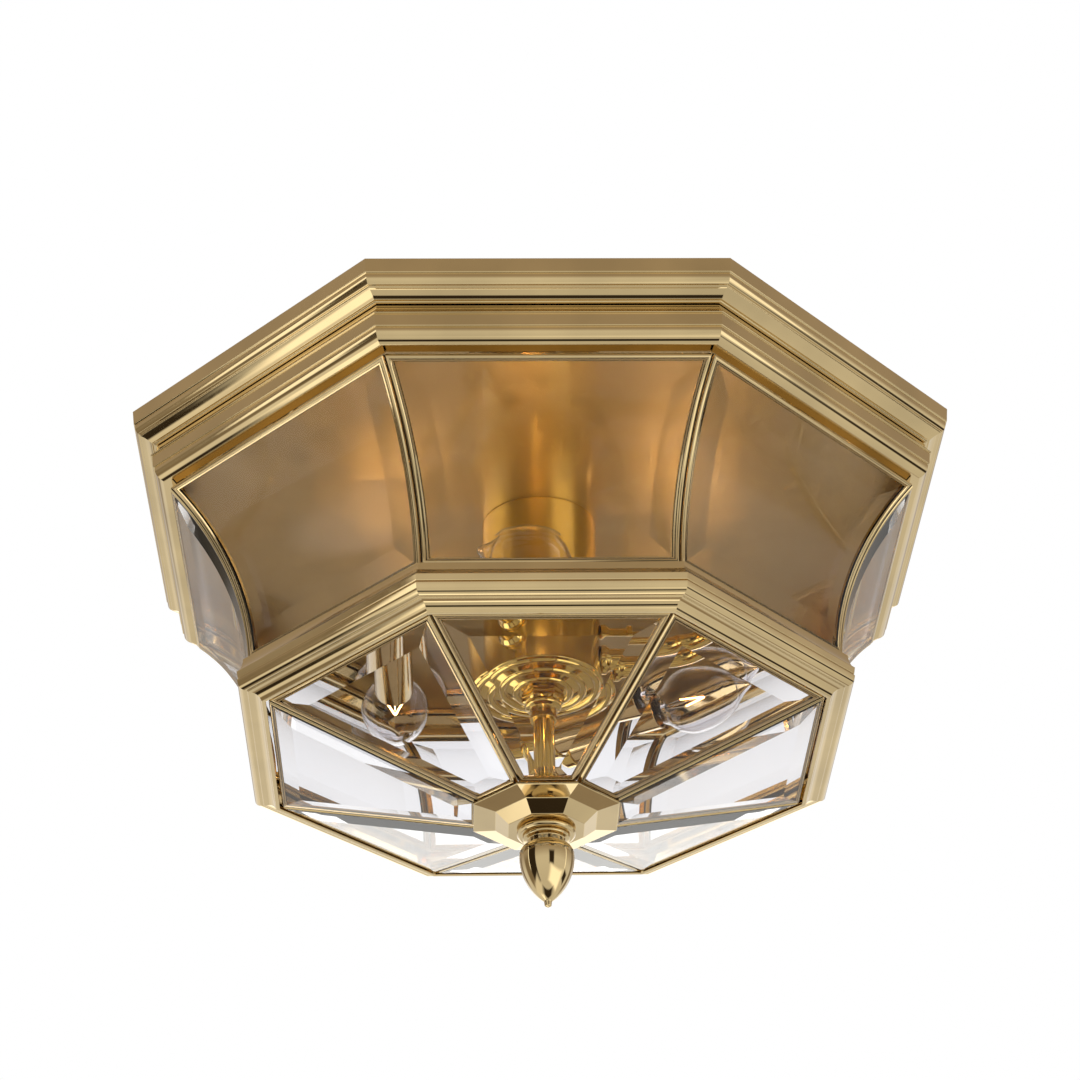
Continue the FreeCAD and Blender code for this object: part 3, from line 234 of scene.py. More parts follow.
def skin(name, grids, sharp=32.0, mitred=False):
    """One mesh from grids of points, each of rows by columns by xyz in millimetres. Quads join neighbours, equal
    points are merged, faces are turned outwards, and edges over the sharp angle stay crisp."""
    points, faces, start = [], [], 0
    for grid in grids:
        rows, columns = grid.shape[:2]
        index = start + np.arange(rows * columns).reshape(rows, columns)
        faces.append(np.stack((index[:-1, :-1], index[:-1, 1:], index[1:, 1:], index[1:, :-1]), -1).reshape(-1, 4))
        points.append(grid.reshape(-1, 3))
        start += rows * columns
    mesh = bpy.data.meshes.new(name)
    mesh.from_pydata(np.concatenate(points) * MM, [], np.concatenate(faces))
    work = bmesh.new()
    work.from_mesh(mesh)
    bmesh.ops.remove_doubles(work, verts=work.verts, dist=WELD)
    bmesh.ops.dissolve_degenerate(work, edges=work.edges, dist=WELD / 2)
    bmesh.ops.recalc_face_normals(work, faces=work.faces)
    work.to_mesh(mesh)
    work.free()
    mesh.shade_smooth()
    mesh.set_sharp_from_angle(angle=math.radians(sharp))
    if mitred:
        keep_mitres_sharp(mesh)
    piece = bpy.data.objects.new(name, mesh)
    bpy.context.scene.collection.objects.link(piece)
    return piece


def keep_mitres_sharp(mesh):
    """An edge whose two ends lie in one mitre plane, at an odd multiple of 22.5 degrees, is a crisp mitre."""
    places = np.empty(len(mesh.vertices) * 3)
    mesh.vertices.foreach_get("co", places)
    places = places.reshape(-1, 3)
    ends = np.empty(len(mesh.edges) * 2, int)
    mesh.edges.foreach_get("vertices", ends)
    turns = np.arctan2(places[:, 1], places[:, 0]) / EIGHTH - 0.5
    on_mitre = np.abs(turns - np.round(turns)) < 1e-3
    first, last = ends.reshape(-1, 2).T
    mitre = on_mitre[first] & on_mitre[last] & (np.round(turns[first]) == np.round(turns[last]))
    attribute = mesh.attributes.get("sharp_edge") or mesh.attributes.new("sharp_edge", "BOOLEAN", "EDGE")
    sharp = np.empty(len(mesh.edges), bool)
    attribute.data.foreach_get("value", sharp)
    attribute.data.foreach_set("value", sharp | mitre)


def closed_loop(points):
    return np.concatenate((points, points[:1]))


def spun(points, columns=96, place=np.eye(4)):
    """A turned surface: a profile point (r, z) goes to (r cos a, r sin a, z), then to its place."""
    angle = np.linspace(0, math.tau, columns + 1)
    around = np.stack((np.cos(angle), np.sin(angle)), 1)
    grid = np.empty((len(points), columns + 1, 3))
    grid[..., :2] = points[:, :1, None] * around
    grid[..., 2] = points[:, 1:]
    grid[:, -1] = grid[:, 0]
    return moved(grid, place)


def moved(grid, place):
    return grid @ place[:3, :3].T + place[:3, 3]


def mitred_ring(points):
    """A profile carried round the octagon: a point of apothem p has its corners at p / cos 22.5 degrees."""
    angle = EIGHTH * (np.arange(SIDES + 1) + 0.5)
    around = np.stack((np.cos(angle), np.sin(angle)), 1) / math.cos(EIGHTH / 2)
    grid = np.empty((len(points), SIDES + 1, 3))
    grid[..., :2] = points[:, :1, None] * around
    grid[..., 2] = points[:, 1:]
    grid[:, -1] = grid[:, 0]
    return grid


def directions(path):
    """The unit direction of a path at each of its points."""
    steps = np.gradient(path, axis=0)
    return steps / np.linalg.norm(steps, axis=1)[:, None]


def swept(path, tangents, up, radius, columns):
    """A round bar: the path's point plus radius times (cos a N + sin a B), with N and B square to the tangent.
    Both ends close on the path itself."""
    side = np.cross(up, tangents)
    side /= np.linalg.norm(side, axis=1)[:, None]
    top = np.cross(tangents, side)
    angle = np.linspace(0, math.tau, columns + 1)[None, :, None]
    ring = np.cos(angle) * side[:, None] + np.sin(angle) * top[:, None]
    ring[:, -1] = ring[:, 0]
    grid = path[:, None] + radius * ring
    ends = [np.repeat(path[i][None, None], columns + 1, 1) for i in (0, -1)]
    return np.concatenate((ends[0], grid, ends[1]))


def curved_side():
    """The upper panes' side: a spot (u, n) is u along the inner face's arc and n out towards the arc's centre."""
    top, foot, radius = np.array((170.6, -35.9)), np.array((131.2, -120.4)), 128.0
    half = (foot - top) / 2
    centre = top + half + np.array((-half[1], half[0])) / np.hypot(*half) * math.sqrt(radius ** 2 - half @ half)
    start = math.atan2(top[1] - centre[1], top[0] - centre[0])
    length = 2 * radius * math.asin(np.hypot(*half) / radius)

    def spot(u, n):
        angle = start + np.asarray(u) / radius
        return centre[0] + (radius - n) * np.cos(angle), centre[1] + (radius - n) * np.sin(angle)
    return spot, length


def flat_side():
    """The lower panes' side: a spot (u, n) is u down the inner face and n out through the glass."""
    top, foot = np.array((124.1, -137.0)), np.array((29.9, -168.4))
    length = np.hypot(*(foot - top))
    down = (foot - top) / length
    out = np.array((-down[1], down[0]))

    def spot(u, n):
        u = np.asarray(u)
        return top[0] + u * down[0] + n * out[0], top[1] + u * down[1] + n * out[1]
    return spot, length


def turned_about_z(angle):
    return np.array(Matrix.Rotation(angle, 4, "Z"))


def along_x(level, angle):
    """The place of a piece whose own axis runs out from the centre line at a level and an angle."""
    place = np.array(Matrix.Rotation(angle, 4, "Z") @ Matrix.Rotation(math.pi / 2, 4, "Y"))
    place[2, 3] = level
    return place


def lamp_place(index):
    """The place of a lamp: its origin is the hook's end, its axis runs level to the bulb's tip, its X is up."""
    end = HOOK_AT + HOOK_RADIUS * np.array((math.sin(HOOK_TURN), math.cos(HOOK_TURN)))
    way = np.array((math.cos(HOOK_TURN), -math.sin(HOOK_TURN), 0))
    place = np.eye(4)
    place[:3, 0] = (0, 0, 1)
    place[:3, 1] = np.cross(way, (0, 0, 1))
    place[:3, 2] = way
    place[:3, 3] = (*end, ARM_LEVEL)
    return turned_about_z(math.tau * index / LAMPS) @ place


def dress(piece, body, slot, material, *nodes):
    """Gives a piece its material and puts it on a body, in place of any CAD nodes named. The slot is not used."""
    piece.data.materials.append(material)
    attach(piece, body)
    if nodes:
        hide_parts(*nodes)


# Materials

def add(tree, kind, inputs=None, **settings):
    """Adds a node with its settings. Each input is a value, or another node's output to link."""
    node = tree.nodes.new(kind)
    for name, value in settings.items():
        setattr(node, name, value)
    for name, value in (inputs or {}).items():
        if isinstance(value, bpy.types.NodeSocket):
            tree.links.new(value, node.inputs[name])
        else:
            node.inputs[name].default_value = value
    return node


def new_material(name):
    """An empty material with its output, its Principled shader and its Object coordinates."""
    material = bpy.data.materials.get(name) or bpy.data.materials.new(name)
    material.use_nodes = True
    tree = material.node_tree
    tree.nodes.clear()
    shader = add(tree, "ShaderNodeBsdfPrincipled")
    add(tree, "ShaderNodeOutputMaterial", {"Surface": shader.outputs[0]})
    where = add(tree, "ShaderNodeTexCoord").outputs["Object"]
    return material, tree, shader, where


def shade(colour, factor):
    return tuple(channel * factor for channel in colour[:3]) + (1.0,)


def blend(tree, factor, low, high, start=0.35, end=0.65):
    """A blend between two colours or grey levels as a pattern goes from start to end."""
    span = {"Value": factor, "From Min": start, "From Max": end}
    if isinstance(low, float):
        return add(tree, "ShaderNodeMapRange", {**span, "To Min": low, "To Max": high}).outputs["Result"]
    share = add(tree, "ShaderNodeMapRange", span).outputs["Result"]
    return add(tree, "ShaderNodeMix", {"Factor": share, "A": low, "B": high}, data_type="RGBA").outputs["Result"]


def brass_material(name, colour, roughness, spread, lines=0.0, dim=0.86):
    """Buffed brass under lacquer: clouds of tone some 40 mm across, and hazy patches where polish leaves the mirror
    softer. Spun, drawn and brushed pieces also have hair lines, drawn as coarse as they need to show."""
    material, tree, shader, where = new_material(name)
    cloud = add(tree, "ShaderNodeTexNoise", {"Vector": where, "Scale": 26.0, "Detail": 3.0})
    haze = add(tree, "ShaderNodeTexNoise", {"Vector": where, "Scale": 70.0, "Detail": 4.0, "Roughness": 0.6})
    tree.links.new(blend(tree, cloud.outputs["Fac"], shade(colour, dim), colour), shader.inputs["Base Color"])
    tree.links.new(blend(tree, haze.outputs["Fac"], roughness, roughness + spread), shader.inputs["Roughness"])
    shader.inputs["Metallic"].default_value = 1.0
    shader.inputs["Coat Weight"].default_value = 0.7
    shader.inputs["Coat Roughness"].default_value = 0.03
    if lines:
        stretch = add(tree, "ShaderNodeMapping", {"Vector": where, "Scale": (1.0, 1.0, 14.0)})
        hair = add(tree, "ShaderNodeTexNoise", {"Vector": stretch.outputs[0], "Scale": 260.0, "Detail": 2.0})
        bump = add(tree, "ShaderNodeBump", {"Height": hair.outputs["Fac"], "Strength": lines, "Distance": 0.0002})
        tree.links.new(bump.outputs[0], shader.inputs["Normal"])
    return material


def steel_material(name, code, roughness):
    """Zinc-plated steel: crystals of plating about 6 mm across, each a little lighter or duller."""
    material, tree, shader, where = new_material(name)
    spangle = add(tree, "ShaderNodeTexVoronoi", {"Vector": where, "Scale": 160.0})
    light = srgb(code)
    tree.links.new(blend(tree, spangle.outputs["Color"], shade(light, 0.72), light, 0.1, 0.9),
                   shader.inputs["Base Color"])
    tree.links.new(blend(tree, spangle.outputs["Distance"], roughness, roughness + 0.16, 0.1, 0.7),
                   shader.inputs["Roughness"])
    shader.inputs["Metallic"].default_value = 1.0
    return material


def paint_material(name, code, roughness):
    """Moulded or painted surface: faint mottling and an orange-peel skin of 1 mm waves."""
    material, tree, shader, where = new_material(name)
    mottle = add(tree, "ShaderNodeTexNoise", {"Vector": where, "Scale": 120.0, "Detail": 3.0})
    peel = add(tree, "ShaderNodeTexNoise", {"Vector": where, "Scale": 1000.0})
    colour = srgb(code)
    tree.links.new(blend(tree, mottle.outputs["Fac"], shade(colour, 0.82), colour), shader.inputs["Base Color"])
    bump = add(tree, "ShaderNodeBump", {"Height": peel.outputs["Fac"], "Strength": 0.2, "Distance": 0.0001})
    tree.links.new(bump.outputs[0], shader.inputs["Normal"])
    shader.inputs["Roughness"].default_value = roughness
    return material


def glass_material(name, colour, ior, wave):
    """Clear glass: only its edges, bevels and glancing reflections show, with a faint draw-wave some 60 mm long. Its
    mirror image is held back, so that the fittings behind stay clear, and rays from lamps pass it to light them."""
    material, tree, shader, where = new_material(name)
    draw = add(tree, "ShaderNodeTexNoise", {"Vector": where, "Scale": 16.0, "Detail": 1.0})
    tint = blend(tree, draw.outputs["Fac"], shade(colour, 0.985), colour)
    tree.links.new(tint, shader.inputs["Base Color"])
    if wave:
        bump = add(tree, "ShaderNodeBump", {"Height": draw.outputs["Fac"], "Strength": wave, "Distance": 0.001})
        tree.links.new(bump.outputs[0], shader.inputs["Normal"])
    shader.inputs["Roughness"].default_value = 0.0
    shader.inputs["IOR"].default_value = ior
    shader.inputs["Specular Tint"].default_value = (0.1, 0.1, 0.1, 1.0)
    shader.inputs["Transmission Weight"].default_value = 1.0
    clear = add(tree, "ShaderNodeBsdfTransparent", {"Color": (0.92, 0.92, 0.92, 1.0)})
    shadow = add(tree, "ShaderNodeLightPath").outputs["Is Shadow Ray"]
    both = add(tree, "ShaderNodeMixShader", {0: shadow, 1: shader.outputs[0], 2: clear.outputs[0]})
    tree.links.new(both.outputs[0], tree.nodes["Material Output"].inputs["Surface"])
    return material


def glow_material(name, colour, strength):
    """Hot tungsten, a little hotter or cooler in spots about 1 mm across."""
    material, tree, shader, where = new_material(name)
    grain = add(tree, "ShaderNodeTexNoise", {"Vector": where, "Scale": 900.0})
    tree.links.new(blend(tree, grain.outputs["Fac"], shade(colour, 0.6), colour), shader.inputs["Emission Color"])
    shader.inputs["Base Color"].default_value = srgb("3A3633")
    shader.inputs["Metallic"].default_value = 1.0
    shader.inputs["Roughness"].default_value = 0.4
    shader.inputs["Emission Strength"].default_value = strength
    return material


def materials():
    """All finishes by name, in the panel's colours. A finish that exists already is made again in its place."""
    tones = bpy.context.scene.light_colours
    brass, fitting, satin, sleeve = (
        tuple(c) for c in (tones.brass, tones.fitting_brass, tones.satin_brass, tones.sleeve))
    return {
        "polished_brass": brass_material("Polished brass", brass, 0.03, 0.04),
        "turned_brass": brass_material("Turned brass", brass, 0.03, 0.03),
        "spun_brass": brass_material("Spun brass", shade(fitting, 1.04), 0.2, 0.06, lines=0.1, dim=0.94),
        "fitting_brass": brass_material("Bent and cast brass", fitting, 0.06, 0.04),
        "satin_brass": brass_material("Satin brass", satin, 0.34, 0.1, lines=0.02, dim=0.92),
        "came_brass": brass_material("Came brass", shade(brass, 0.92), 0.07, 0.06),
        "sleeve_brass": brass_material("Drawn brass tube", sleeve, 0.08, 0.05, lines=0.08),
        "contact_brass": brass_material("Pressed brass", srgb("C8B27C"), 0.2, 0.1),
        "zinc_steel": steel_material("Zinc-plated steel", "C4C6C6", 0.3),
        "green_steel": paint_material("Green enamel", "2E7D46", 0.35),
        "socket_plastic": paint_material("Moulded phenolic", "E9E2D2", 0.42),
        # The solder's dark colour is painted shade of the seams between the came lips.
        "dark_solder": steel_material("Solder with painted seam shade", "40362A", 0.4),
        "lead_wire": steel_material("Nickel wire", "B8B2A4", 0.25),
        "bevelled_glass": glass_material("Bevelled glass", tuple(tones.glass), ior=1.4, wave=0.03),
        "bulb_glass": glass_material("Blown bulb glass", srgb("FBFAFC"), ior=1.47, wave=0.0),
        "filament": glow_material("Hot tungsten", tuple(tones.glow), strength=34.0),
    }


class BuildStep(bpy.types.Operator):
    """A step that builds part of the ceiling light."""
    bl_idname = "ceiling_light.step"
    bl_label = "Build step"
    bl_options = {"REGISTER", "UNDO"}

    def execute(self, context):
        self.build(context, context.scene.light_sizes, materials())
        return {"FINISHED"}

    def build(self, context, sizes, looks):
        raise RuntimeError("Choose one of the light's own steps")


class BuildMouldings(BuildStep):
    """Canopy moulding, cage moulding, band and cast cap, each one profile carried round the octagon"""
    bl_idname = "ceiling_light.mouldings"
    bl_label = "Mouldings"

    def build(self, context, sizes, looks):
        rings = (
            ("crown_moulding", CROWN, "canopy", "canopy_ring"),
            ("cage_moulding", CAGE_TOP, "cage", "cage_top_ring"),
            ("band_moulding", BAND, "cage", "band_ring"),
            ("cast_cap", CAP, "cage", "cage_cap"),
        )
        for name, profile, body, node in rings:
            line = eased(outline(profile), sizes.arris / MM, True)
            piece = skin(name, [mitred_ring(closed_loop(line))], mitred=True)
            dress(piece, body, "polished_brass", looks["polished_brass"], node)


class BuildTurnedPieces(BuildStep):
    """Canister, ringed cap, coupling, rod, check ring and finial, each a profile spun about the centre line"""
    bl_idname = "ceiling_light.turned"
    bl_label = "Turned pieces"

    def build(self, context, sizes, looks):
        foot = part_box("lower_rod")[0].z / MM
        rod = [(3.1, -117.05), (5.0, -117.05), (5.0, foot + 0.6), (4.4, foot), (3.1, foot)]
        pieces = (
            ("canister_shell", CANISTER, "canopy", "canister", 0.4),
            ("ringed_cap", RINGED_CAP, "canopy", "canister_cap", 0.3),
            ("turned_coupling", COUPLING, "canopy", "rod_coupling", 0.2),
            ("bright_rod", rod, "canopy", "lower_rod", 0.1),
            ("turned_check_ring", CHECK_RING, "check_ring", "check_ring", 0.5),
        )
        for name, profile, body, node, rounding in pieces:
            line = eased(outline(profile), rounding, True)
            look = looks[{"check_ring": "turned_brass", "canister": "spun_brass"}.get(node, "fitting_brass")]
            dress(skin(name, [spun(closed_loop(line))]), body, "polished_brass", look, node)
        bore = np.array([(0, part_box("lower_rod")[0].z / MM - 2), (5.06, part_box("lower_rod")[0].z / MM - 2)])
        line = np.concatenate((bore, eased(outline(FINIAL, 28), 0.3, False)))
        dress(skin("acorn_finial", [spun(line, 128)]), "finial", "polished_brass", looks["turned_brass"], "finial")


class BuildNuts(BuildStep):
    """The hex nut under the cap, with its corners chamfered in the lathe"""
    bl_idname = "ceiling_light.nuts"
    bl_label = "Hex nut"

    def build(self, context, sizes, looks):
        low, high = (corner.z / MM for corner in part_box("cap_nut"))
        corner = 10.0
        flat = corner * math.cos(math.pi / 6)
        line = np.array([(4.95, high), (flat - 0.3, high), (corner, high - 1.0), (corner, high - 3.2),
                         (corner, low + 1.0), (flat - 0.3, low), (4.95, low)])
        grid = spun(closed_loop(eased(line, 0.15, True)), 144)
        angle = np.arctan2(grid[..., 1], grid[..., 0])
        sixth = math.tau / 6
        hexagon = flat / np.cos((angle % sixth) - sixth / 2)
        radius = np.hypot(grid[..., 0], grid[..., 1])
        grid[..., :2] *= (np.minimum(radius, hexagon) / radius)[..., None]
        dress(skin("chamfered_nut", [grid], sharp=24.0), "canopy", "polished_brass", looks["fitting_brass"], "cap_nut")


class BuildArms(BuildStep):
    """Swirl arms with their collars, wall screws, cups and candle sleeves"""
    bl_idname = "ceiling_light.arms"
    bl_label = "Arms"

    def build(self, context, sizes, looks):
        heading = -HOOK_TURN * np.concatenate((np.zeros(1), np.linspace(0, 1, 49), np.ones(1)))
        path = np.stack((HOOK_AT[0] - HOOK_RADIUS * np.sin(heading), HOOK_AT[1] + HOOK_RADIUS * np.cos(heading),
                         np.full(len(heading), ARM_LEVEL)), 1)
        path[0, 0] = ARM_ROOT
        tangents = np.stack((np.cos(heading), np.sin(heading), np.zeros(len(heading))), 1)
        path[-1] += ARM_IN_CUP * tangents[-1]
        bar = swept(path, tangents, np.array((0, 0, 1.0)), ARM_RADIUS, 40)
        turns = [math.tau * index / LAMPS for index in range(LAMPS)]
        for index, turn in enumerate(turns):
            piece = skin("swirl_arm_%d" % (index + 1), [moved(bar, turned_about_z(turn))])
            dress(piece, "canopy", "polished_brass", looks["fitting_brass"], "arm_%d" % (index + 1))
            tube = closed_loop(eased(outline(SLEEVE), 0.25, True))
            piece = skin("candle_sleeve_%d" % (index + 1), [spun(tube, 96, lamp_place(index))])
            dress(piece, "canopy", "sleeve_brass", looks["sleeve_brass"], "sleeve_%d" % (index + 1))
        groups = (
            ("turned_collars", COLLAR, "arm_collars", [along_x(ARM_LEVEL, t) for t in turns], 0.5, True),
            ("wall_screws", WALL_SCREW, "canister_screws", [along_x(WALL_SCREW_LEVEL, t) for t in turns], 0.25, False),
            ("turned_cups", CUP, "lamp_cups", [lamp_place(i) for i in range(LAMPS)], 0.4, True),
        )
        for name, profile, node, places, rounding, closed in groups:
            line = eased(outline(profile), rounding, closed)
            line = closed_loop(line) if closed else line
            piece = skin(name, [spun(line, 64, place) for place in places])
            dress(piece, "canopy", "polished_brass", looks["fitting_brass"], node)


class BuildBulbs(BuildStep):
    """Candelabra bulbs: blown glass, threaded base, stem, wires and hot filament"""
    bl_idname = "ceiling_light.bulbs"
    bl_label = "Bulbs"

    def build(self, context, sizes, looks):
        shell = closed_loop(self.shell(sizes.bulb_wall / MM))
        for index in range(LAMPS):
            body, place, tag = "bulb_%d" % (index + 1), lamp_place(index), "_%d" % (index + 1)
            piece = skin("blown_bulb" + tag, [spun(shell, 96, place)])
            dress(piece, body, "bulb_glass", looks["bulb_glass"], body + "_glass")
            piece = skin("bulb_stem" + tag, [spun(eased(outline(STEM), 0.2, False), 48, place)])
            dress(piece, body, "stem_glass", looks["bulb_glass"], body + "_stem")
            piece = skin("threaded_base" + tag, [moved(self.thread(sizes), place)], sharp=50.0)
            dress(piece, body, "bulb_base_brass", looks["contact_brass"], body + "_base")
            piece = skin("filament" + tag, [moved(self.coil(sizes), place)], sharp=80.0)
            dress(piece, body, "bulb_base_brass", looks["filament"])
            piece = skin("lead_wires" + tag, [moved(grid, place) for grid in self.wires()], sharp=50.0)
            dress(piece, body, "bulb_base_brass", looks["lead_wire"])

    def shell(self, wall):
        """The bulb's outline up to its tip, and back down the same line at the wall's distance inside it."""
        outside = outline(BULB, 20)
        inside = outside + directions(outside)[:, ::-1] * (-wall, wall)
        inside[-1] = (0, outside[-1, 1] - wall)
        inside[:, 0] = np.maximum(inside[:, 0], 0)
        return np.concatenate((outside, inside[::-1]))

    def thread(self, sizes):
        """Screw base: a turned shell whose radius is lowered by depth times (1 - cos(2 pi z / pitch - a)) / 2
        between the shoulder and the collar, on the insulator and its contact."""
        radius, depth = 5.95, 0.4
        line = np.concatenate((np.array([(0, 23.6), (1.6, 23.8), (2.3, 24.6), (2.3, 25.6), (4.0, 27.2),
                                         (5.4, 29.0), (5.9, 30.0)]),
                               np.stack((np.full(64, radius), np.linspace(30.2, 45.5, 64)), 1),
                               np.array([(radius, 46.9), (5.5, 47.0), (0, 47.0)])))
        grid = spun(line, 72)
        angle = np.arctan2(grid[..., 1], grid[..., 0])
        wave = 0.5 - 0.5 * np.cos(math.tau * grid[..., 2] / (sizes.thread_pitch / MM) - angle)
        inside = np.clip((grid[..., 2] - 30.5) / 2, 0, 1) * np.clip((44.5 - grid[..., 2]) / 2, 0, 1)
        grid[..., :2] *= (1 - depth / radius * wave * inside)[..., None]
        return grid

    def coil(self, sizes):
        """Filament: a helix about a V whose tip points out of the lamp: z = top less drop times sqrt(s^2 + 0.006)
        and y = spread times s, with s from -1 to 1."""
        turns, top, drop, spread, wire = 36, 89.5, 12.0, 3.6, 0.13
        s = np.linspace(-1, 1, 16 * turns + 1)
        tip = np.sqrt(s ** 2 + 0.006)
        arch = np.stack((np.zeros_like(s), spread * s, top - drop * tip), 1)
        along = np.stack((np.zeros_like(s), np.full_like(s, spread), -drop * s / tip), 1)
        along /= np.linalg.norm(along, axis=1)[:, None]
        out = np.array((1.0, 0, 0))
        side = np.cross(along, out)
        turn = (math.tau * turns * (s + 1) / 2)[:, None]
        path = arch + sizes.coil_radius / MM * (np.cos(turn) * out + np.sin(turn) * side)
        return swept(path, directions(path), np.array((0.2, 0.9, 0.1)), wire, 6)

    def wires(self):
        """Two lead wires from the stem's top out to the ends of the coil, and one support to its tip."""
        radius = 0.22
        runs = np.array((
            ((0, 1.0, 67.0), (0, 2.6, 72.0), (0, 3.6, 77.6)),
            ((0, -1.0, 67.0), (0, -2.6, 72.0), (0, -3.6, 77.6)),
            ((0.3, 0, 68.0), (0.1, 0, 79.0), (0, 0, 88.4)),
        ))
        return [swept(path, directions(path), np.array((1.0, 0, 0)), radius, 10) for path in runs]


class BuildGlass(BuildStep):
    """The curved upper panes and the flat lower panes, ground with a bevel along all four edges"""
    bl_idname = "ceiling_light.glass"
    bl_label = "Bevelled glass"

    def build(self, context, sizes, looks):
        rows = (
            ("upper", curved_side(), sizes.upper_bevel / MM, 41),
            ("lower", flat_side(), sizes.lower_bevel / MM, 2),
        )
        for row, side, bevel, steps in rows:
            thick = sizes.pane_thickness / MM
            grids = self.pane(side, bevel, thick, thick - bevel * math.tan(sizes.bevel_angle), steps)
            for index in range(SIDES):
                turn = turned_about_z(EIGHTH * index)
                piece = skin("%s_glass_%d" % (row, index + 1), [moved(grid, turn) for grid in grids], sharp=4.0)
                dress(piece, "cage", "bevelled_glass", looks["bevelled_glass"], "%s_pane_%d" % (row, index + 1))

    def pane(self, side, bevel, thick, edge, steps):
        """Grids of a pane: a point at u, n and d from the pane's edge has y up to x tan 22.5 less (gap + inset + d) /
        cos 22.5. The edges are an inset in from the row's ends, and a gap more from the mitres."""
        spot, length = side
        inset, gap = 1.4, 0.15

        def ribbon(first, last, rows):
            """Points between two lines, each (u at its ends, n, d, hands at its ends)."""
            s = np.linspace(0, 1, rows)
            sides = []
            for (u0, u1), n, d, (h0, h1) in (first, last):
                x, z = spot(u0 + (u1 - u0) * s, n)
                y = (x * HALF_MITRE - (gap + inset + d) / math.cos(EIGHTH / 2)) * (h0 + (h1 - h0) * s)
                sides.append(np.stack((x, y, z), 1))
            return np.stack(sides, 1)

        u0, u1 = inset, length - inset
        v0, v1 = u0 + bevel, u1 - bevel
        grids = [ribbon(((u0, u1), 0, 0, (-1, -1)), ((u0, u1), 0, 0, (1, 1)), steps),
                 ribbon(((v0, v1), thick, bevel, (-1, -1)), ((v0, v1), thick, bevel, (1, 1)), steps)]
        for hand in (-1, 1):
            grids.append(ribbon(((u0, u1), 0, 0, (hand, hand)), ((u0, u1), edge, 0, (hand, hand)), steps))
            grids.append(ribbon(((u0, u1), edge, 0, (hand, hand)), ((v0, v1), thick, bevel, (hand, hand)), steps))
        for end, inner in ((u0, v0), (u1, v1)):
            grids.append(ribbon(((end, end), 0, 0, (-1, 1)), ((end, end), edge, 0, (-1, 1)), 2))
            grids.append(ribbon(((end, end), edge, 0, (-1, 1)), ((inner, inner), thick, bevel, (-1, 1)), 2))
        return grids


class BuildFrames(BuildStep):
    """Brass came round every pane, with rounded lips, and a line of solder in each seam, whose dark colour is painted
    shade
    """
    bl_idname = "ceiling_light.frames"
    bl_label = "Came frames"

    def build(self, context, sizes, looks):
        for row, side, steps in (("upper", curved_side(), 33), ("lower", flat_side(), 2)):
            frame_grid = self.channel(side, sizes.came_width / MM, steps)
            grids = [moved(frame_grid, turned_about_z(EIGHTH * index)) for index in range(SIDES)]
            piece = skin("%s_came" % row, grids, sharp=28.0)
            dress(piece, "cage", "came_brass", looks["came_brass"], "%s_frames" % row)
            seams = [moved(self.solder(side, steps), turned_about_z(EIGHTH * (index + 0.5))) for index in range(SIDES)]
            # The solder bead is real, but its dark colour is painted shade of the groove between the lips.
            dress(skin("%s_solder" % row, seams, sharp=60.0), "cage", "came_brass", looks["dark_solder"])

    def channel(self, side, width, steps):
        """A profile point is d in from the mitre or the end and n out. It goes down one side of the pane, across
        the foot and up the other side: y is x tan 22.5 less d / cos 22.5, to each hand."""
        spot, length = side
        seam, back = 0.55, -1.2
        lip = outline([(seam, 2.0), (width - 0.9, 2.5, 1.5, -1)], 10)
        rebate = np.array([(width - 0.9, 2.35), (width - 0.2, 2.35), (width, 2.1), (width, 1.8), (width - 0.8, 1.8),
                           (width - 0.8, back)])
        line = closed_loop(np.concatenate((np.array([(seam, back)]), lip, rebate)))
        s = np.linspace(0, 1, steps)
        sides = []
        for d, n in line:
            x, z = spot(d + (length - 2 * d) * s, n)
            y = x * HALF_MITRE - d / math.cos(EIGHTH / 2)
            down = np.stack((x, -y, z), 1)
            sides.append(np.concatenate((down, down[::-1] * (1, -1, 1), down[:1])))
        return np.stack(sides)

    def solder(self, side, steps):
        """A round bead along the mitre, sunk below the lips on its two sides."""
        spot, length = side
        radius, level, end = 0.3, 1.2, 0.5
        x, z = spot(np.linspace(end, length - end, steps), level)
        path = np.stack((x / math.cos(EIGHTH / 2), np.zeros(steps), z), 1)
        return swept(path, directions(path), np.array((0, 1.0, 0)), radius, 12)


class FinishNodes(BuildStep):
    """Finishes for the CAD nodes that keep their own shape"""
    bl_idname = "ceiling_light.finish_nodes"
    bl_label = "Finishes of kept nodes"

    def build(self, context, sizes, looks):
        kept = {
            "canopy_pan": "satin_brass", "mounting_strap": "zinc_steel", "centre_pipe": "zinc_steel",
            "lock_nuts": "zinc_steel", "ground_screw": "green_steel", "arm_nuts": "fitting_brass",
            "screw_shells": "contact_brass", "socket_1": "socket_plastic", "socket_2": "socket_plastic",
            "socket_3": "socket_plastic",
        }
        for node, look in kept.items():
            materials_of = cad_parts[node].data.materials
            materials_of.clear()
            materials_of.append(looks[look])


